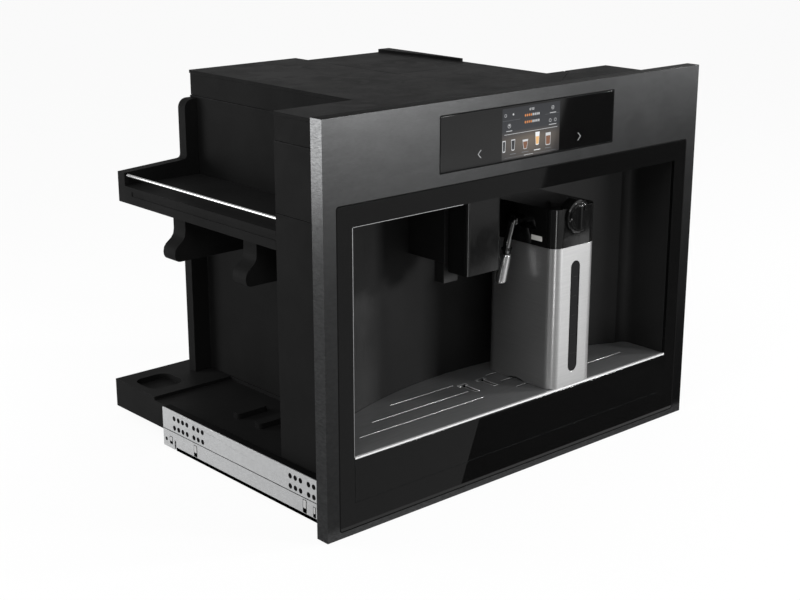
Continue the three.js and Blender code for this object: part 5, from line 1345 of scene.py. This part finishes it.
# ------------------------------------------------------------------ the body
@dataclass
class BodyShell(Part):
    """Housings, base, covers and panels round the works, with the mains inlet."""

    rear: float = 442.0
    rear_step: float = 416.0
    screw_profile: tuple[Point, ...] = (
        (3.6, -0.4), (3.6, 0.7), (3.1, 1.2), (1.9, 1.3), (1.7, 1.0), (1.7, 0.2), (0.0, 0.2),
    )
    screw_columns: tuple[Point, Point] = ((-138.0, 0.0), (24.0, 143.0))
    screw_rows: Point = (400.0, 70.0)
    screw_middle: float = 240.0
    louvre_low: float = 300.0
    louvre_pitch: float = 10.0
    inlet_x: float = -96.25
    inlet_z: float = 90.0
    inlet_places: tuple[Point, ...] = ((-6.0, 2.0), (0.0, -2.6), (6.0, 2.0))
    skins = (
        *((node, Finishes.BODY, edge, 3) for node, edge in (
            ("lower_front_housing", 1.0), ("upper_front_housing", 1.0), ("base_tray", 1.1),
            ("top_cover", 1.3), ("right_top_cap", 1.3), ("left_side_panel", 0.9),
            ("right_side_panel", 0.9), ("rear_panel", 0.8),
        )),
        ("mains_inlet", Finishes.INNER, 0.6), ("power_switch", Finishes.POLISHED, 0.7, 3),
    )

    def screws(self) -> None:
        """Adds the socket screws of the rear panel."""
        heads = Blank()
        sheets = tuple(zip(self.screw_columns, (self.rear, self.rear_step)))
        places = [(x, back, z) for columns, back in sheets for z in self.screw_rows for x in columns]
        places += [(sheets[i][0][i], sheets[i][1], self.screw_middle) for i in (0, 1)]
        for place in places:
            heads.turned(self.screw_profile, place, Axis.Y, 18)
        self.fitter.fit(heads.made("rear_panel_screws"), Finishes.ZINC, "machine")

    def louvres(self) -> None:
        """Adds the louvres of the rear panel."""
        slats = Blank()
        for back, count, left, right in ((self.rear, 9, -128.0, -18.0), (self.rear_step, 6, 32.0, 134.0)):
            for i in range(count):
                z = self.louvre_low + self.louvre_pitch * i
                profile = [(back - 0.3, z), (back + 1.9, z + 1.2), (back + 1.9, z + 2.0),
                           (back - 0.3, z + 5.2)]
                slats.prism(profile, Axis.X, left, right)
        self.fitter.fit(slats.made("rear_louvres", 0.3), Finishes.BODY, "machine")

    def inlet_pins(self) -> None:
        """Adds the three pins of the mains inlet."""
        pins = Blank()
        for across, up in self.inlet_places:
            x, z = self.inlet_x + across, self.inlet_z + up
            pins.box((x - 1.0, x + 1.0), (421.0, 436.0), (z - 2.2, z + 2.2))
        self.fitter.fit(pins.made("inlet_pins", 0.3), Finishes.CHROME, "machine")

    def details(self) -> None:
        """Adds the louvres, the pins and the screws."""
        self.louvres()
        self.inlet_pins()
        self.screws()


@dataclass
class LeftBay(Part):
    """Shelf with its rail, and the two cord hooks under it."""

    skins = (
        ("storage_shelf", Finishes.BODY, 1.2, 3), ("shelf_rail", Finishes.CHROME, 0.3),
        ("front_cord_hook", Finishes.BODY, 1.5, 3), ("rear_cord_hook", Finishes.BODY, 1.5, 3),
    )


@dataclass
class Runners(Part):
    """The two telescopic runners that carry the machine."""

    outer: float = 280.0
    front: float = 41.0
    rear: float = 344.0
    seam_z: float = 27.0
    foot_low: float = 4.3
    foot_high: float = 8.5
    foot_short: float = 28.0
    top: float = 54.0
    sheet: float = 1.4
    flange: float = 11.72
    lance_places: tuple[tuple[float, ...], ...] = (
        (327.0, 10.0, 20.0, 6.5), (274.5, 9.0, 24.0, 7.0), (62.8, 9.0, 25.0, 7.0), (45.5, 9.0, 22.0, 5.0),
    )
    rear_hole_shade: Triple = (337.5, 14.0, 2.4)
    hole_shade_radius: float = 3.2
    hole_heights: tuple[float, float] = (33.0, 45.2)
    hole_pitch: float = 9.2
    hole_gap: float = 5.0
    hole_groups: tuple[tuple[float, int, int], ...] = ((46.3, 2, 5), (258.5, 3, 7))
    skins = tuple(
        (f"{side}_{member}_runner", finish, 0.3) for side in ("left", "right")
        for member, finish in (
            ("cabinet", Finishes.ZINC), ("middle", Finishes.BLACKED), ("machine", Finishes.ZINC),
        )
    )

    def add(self, blank: Blank, name: str, finish: Finish = Finishes.GASKET_AND_PAINTED_SHADE, edge: float = 0.0) -> None:
        """Puts a piece on the cabinet members."""
        self.fitter.fit(blank.made(name, edge), finish, "cabinet_runners")

    def depths(self, side: int, inward: float, outward: float = 0.0) -> list[float]:
        """Returns the X values a little inside and outside the outer face of a runner, in order."""
        face = side * self.outer
        return sorted((face - side * inward, face + side * outward))

    def hole_row(self) -> list[float]:
        """Returns the distances from the front of the screw holes along one row."""
        return [start + i * self.hole_pitch + (self.hole_gap if i >= first else 0.0)
                for start, first, count in self.hole_groups for i in range(count)]

    def lances(self, side: int, name: str) -> None:
        """Adds the pressed lances, dark slots round them as painted shade of their openings, and dark discs a
        little wider than each screw hole as its painted shade.

        Args:
            side: -1 for the left runner, 1 for the right one.
            name: First word of the pieces' names.
        """
        # dark rectangles behind the lance tongues and dark discs over each screw hole: painted shade of the
        # openings
        tabs, slots, hole_shade = Blank(), Blank(), Blank()
        for y, z0, z1, wide in self.lance_places:
            slots.prism(rounded(y - wide / 2, y + wide / 2, z0, z1, 0.8, 3), Axis.X, *self.depths(side, 0.4))
            tongue = rounded(y - wide / 2 + 1.2, y + wide / 2 - 0.5, z0 + 0.35 * (z1 - z0), z1 - 0.8, 0.6, 3)
            tabs.prism(tongue, Axis.X, *self.depths(side, 0.3, 0.01))
        slots.prism(circle(*self.rear_hole_shade, 20), Axis.X, *self.depths(side, 0.4))
        for y in self.hole_row():
            for z in self.hole_heights:
                hole_shade.prism(circle(y, z, self.hole_shade_radius, 20), Axis.X, *self.depths(side, 0.6, 0.015))
        self.add(tabs, f"{name}_runner_lances", Finishes.CAST, 0.1)
        self.add(slots, f"{name}_runner_slot_shade")
        self.add(hole_shade, f"{name}_runner_hole_shade")

    def strips(self, side: int, name: str) -> None:
        """Adds a thin black strip laid on the top flange, darkening it, and dark lines along the seam and the
        foot.

        Args:
            side: -1 for the left runner, 1 for the right one.
            name: First word of the pieces' names.
        """
        # a thin black strip that darkens the top flange
        flange_dark_strip = Blank().box(self.depths(side, self.flange, -self.sheet), (self.front + 0.2, self.rear - 0.2),
                            (self.top - 0.3, self.top + 0.03))
        self.add(flange_dark_strip, f"{name}_runner_flange_dark_strip")
        lines, edges, start = Blank(), self.depths(side, 0.2), self.front + 0.5
        lines.box(edges, (start, self.rear - 0.5), (self.seam_z - 0.5, self.seam_z + 0.5))
        lines.box(edges, (start, self.rear - self.foot_short), (self.foot_low, self.foot_high))
        self.add(lines, f"{name}_runner_lines")

    def details(self) -> None:
        """Adds what is pressed, punched or laid on the cabinet members, with painted shade darkening the
        slots and the punched openings.
        """
        for side, name in ((-1, "left"), (1, "right")):
            self.lances(side, name)
            self.strips(side, name)


@dataclass
class Works(Part):
    """What is inside: beans, grinder, brewing, water and power."""

    skins = (
        ("bean_hopper", Finishes.SMOKE, 0.8), ("grind_dial", Finishes.INNER, 0.6),
        ("bean_lid", Finishes.BODY, 1.3, 3), ("grinder_housing", Finishes.INNER, 0.8),
        ("lower_burr", Finishes.CAST, 0.3), ("upper_burr", Finishes.CAST, 0.3),
        ("grinder_motor", Finishes.CAST, 0.8), ("bulkhead", Finishes.INNER, 0.6),
        ("brew_unit", Finishes.INNER, 0.9, 3), ("brew_piston", Finishes.WHITE, 0.6),
        ("grounds_container", Finishes.NICHE, 1.0, 3), ("thermoblock", Finishes.CAST, 0.9),
        ("pump", Finishes.CAST, 0.5), ("power_board", Finishes.BOARD, 0.2),
        ("water_tank", Finishes.SMOKE, 0.9, 3), ("water_tank_lid", Finishes.INNER, 0.9, 3),
    )


# ------------------------------------------------------------------ the studio
@dataclass
class Studio:
    """Pale floor, soft lamps and the camera, in metres of the row frame."""

    eye: Triple = (-1.19118, -1.34896, 0.70078)
    heading: float = 41.726
    tilt: float = 16.741
    lens: float = 66.37
    floor_half: float = 9.0
    floor_z: float = -0.0006
    floor_grey: float = 0.86
    floor_glow: float = 0.93
    fill: float = 0.38
    black_flag: tuple[Point, ...] = (
        (-0.085, -0.25), (0.078, -0.385), (0.32, -0.385), (0.98, -0.95), (0.758, -0.95), (3.3, -3.063),
        (6.5, -0.25),
    )
    grey_flag: tuple[Point, ...] = ((-1.8, -0.25), (-0.085, -0.25), (1.48, -1.55), (-1.8, -1.55))
    niche_flag: tuple[Point, ...] = ((0.46, -0.86), (0.80, -0.86), (0.86, -1.06), (0.46, -1.06))
    corner_flag: tuple[Point, ...] = ((-1.8, -0.3), (-0.32, -0.3), (-0.32, -1.55), (-1.8, -1.55))
    corner_wall: tuple[Point, ...] = ((-3.0, -1.2), (0.0, -2.6))
    glint_strip: tuple[Point, ...] = ((-0.30, -0.62), (-0.24, -0.66), (-0.72, -1.56), (-0.84, -1.50))

    def camera(self) -> None:
        """Sets up the camera."""
        data = bpy.data.cameras.new("camera")
        data.lens = self.lens
        data.sensor_width = 36.0
        data.clip_start = 0.02
        data.clip_end = 60.0
        camera = put("camera", data)
        camera.location = self.eye
        camera.rotation_euler = (math.radians(90.0 - self.tilt), 0.0, -math.radians(self.heading))
        bpy.context.scene.camera = camera

    def lamp(self, name: str, place: Triple, aim: Triple, size: Point, power: float) -> None:
        """Adds a soft box.

        Args:
            name: Name of the lamp.
            place: Where it hangs.
            aim: What it points at.
            size: Its width and height.
            power: Its power in watts.
        """
        data = bpy.data.lights.new(name, "AREA")
        data.shape = "RECTANGLE"
        data.size, data.size_y = size
        data.energy = power
        lamp = put(name, data)
        lamp.visible_camera = False
        lamp.location = place
        lamp.rotation_euler = (Vector(aim) - Vector(place)).to_track_quat("-Z", "Y").to_euler()

    def world(self) -> None:
        """Makes the world white where it is seen and soft where it lights."""
        world = bpy.data.worlds.new("studio_world")
        world.use_nodes = True
        world.node_tree.nodes.clear()
        wires = Wires(world.node_tree)
        power = wires.spread(wires.seen(), to_low=self.fill)
        back = wires.add("ShaderNodeBackground", {"Color": (1.0, 1.0, 1.0, 1.0), "Strength": power})
        wires.add("ShaderNodeOutputWorld", {"Surface": back.outputs[0]})
        bpy.context.scene.world = world

    def sheet(self, name: str, corners: Sequence[Triple], material: bpy.types.Material) -> bpy.types.Object:
        """Adds one flat face of the studio.

        Args:
            name: Name of the face.
            corners: Its corners in turn.
            material: Its material.

        Returns:
            The new object.
        """
        data = bpy.data.meshes.new(name)
        data.from_pydata(corners, [], [tuple(range(len(corners)))])
        data.materials.append(material)
        return put(name, data)

    def floor(self) -> None:
        """Adds the pale floor, which keeps the machine's shadow."""
        made, wires = bare_material("pale_floor")
        matt = wires.add("ShaderNodeBsdfDiffuse", {"Color": (*grey(self.floor_grey), 1.0)})
        glow = wires.add("ShaderNodeEmission", {"Color": (1.0, 1.0, 1.0, 1.0), "Strength": 1.0})
        share = wires.spread(wires.seen(), to_high=self.floor_glow)
        mixed = wires.add("ShaderNodeMixShader", {0: share, 1: matt.outputs[0], 2: glow.outputs[0]})
        wires.add("ShaderNodeOutputMaterial", {"Surface": mixed.outputs[0]})
        half = self.floor_half
        corners = [(x, y, self.floor_z) for x, y in square(-half, half, -half, half)]
        floor = self.sheet("floor", corners, made)

    def flag(self, name: str, level: float, lift: float, wall: bool = False) -> None:
        """Puts up a cloth in front of the machine that only gloss can see.

        Args:
            name: Name of the cloth and of its outline seen from above; a wall's outline is the foot.
            level: How bright it looks.
            lift: How far it lies above the floor, or how high a wall stands.
            wall: Whether it stands upright.
        """
        outline = getattr(self, name)
        corners = [(x, y, lift) for x, y in outline]
        if wall:
            corners += [(x, y, 0.0) for x, y in reversed(outline)]
        made, wires = bare_material(f"{name}_cloth")
        glow = wires.add("ShaderNodeEmission", {"Strength": level})
        wires.add("ShaderNodeOutputMaterial", {"Surface": glow.outputs[0]})
        flag = self.sheet(name, corners, made)
        for kind in ("camera", "diffuse", "transmission", "shadow"):
            setattr(flag, f"visible_{kind}", False)

    def build(self) -> None:
        """Sets up the whole studio."""
        self.camera()
        self.world()
        self.floor()
        self.flag("black_flag", 0.03, 0.001)
        self.flag("grey_flag", 0.42, 0.001)
        self.flag("niche_flag", 0.05, 0.002)
        self.flag("corner_flag", 0.12, 0.002)
        self.flag("corner_wall", 0.15, 2.2, wall=True)
        self.flag("glint_strip", 8.0, 0.003)
        self.lamp("key_lamp", (-1.6, -1.0, 1.9), (0.0, 0.0, 0.25), (1.4, 1.0), 22.0)
        self.lamp("left_strip", (1.10, -1.92, 0.56), (-0.27, -0.23, 0.42), (0.42, 0.4), 34.0)
        self.lamp("right_strip", (2.22, -1.51, 0.60), (0.28, -0.23, 0.42), (0.3, 0.3), 62.0)
        self.lamp("bay_fill", (-0.95, 0.75, 0.32), (-0.25, 0.12, 0.14), (0.5, 0.4), 8.0)
        self.lamp("top_lamp", (0.1, 0.3, 2.3), (0.0, 0.1, 0.3), (1.6, 1.2), 5.0)


def main() -> None:
    """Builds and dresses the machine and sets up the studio."""
    logging.basicConfig(level=logging.INFO, format="%(name)s: %(message)s")
    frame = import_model()
    bpy.context.scene.view_settings.view_transform = "Standard"
    fitter = Fitter(frame)
    Studio().build()
    for part in (FrontFace, NicheSet, CoffeeSpout, MilkCarafe, BodyShell, LeftBay, Runners, Works):
        part(fitter).build()
        LOG.info("%s is dressed", part.__name__)


if __name__ == "__main__":
    main()
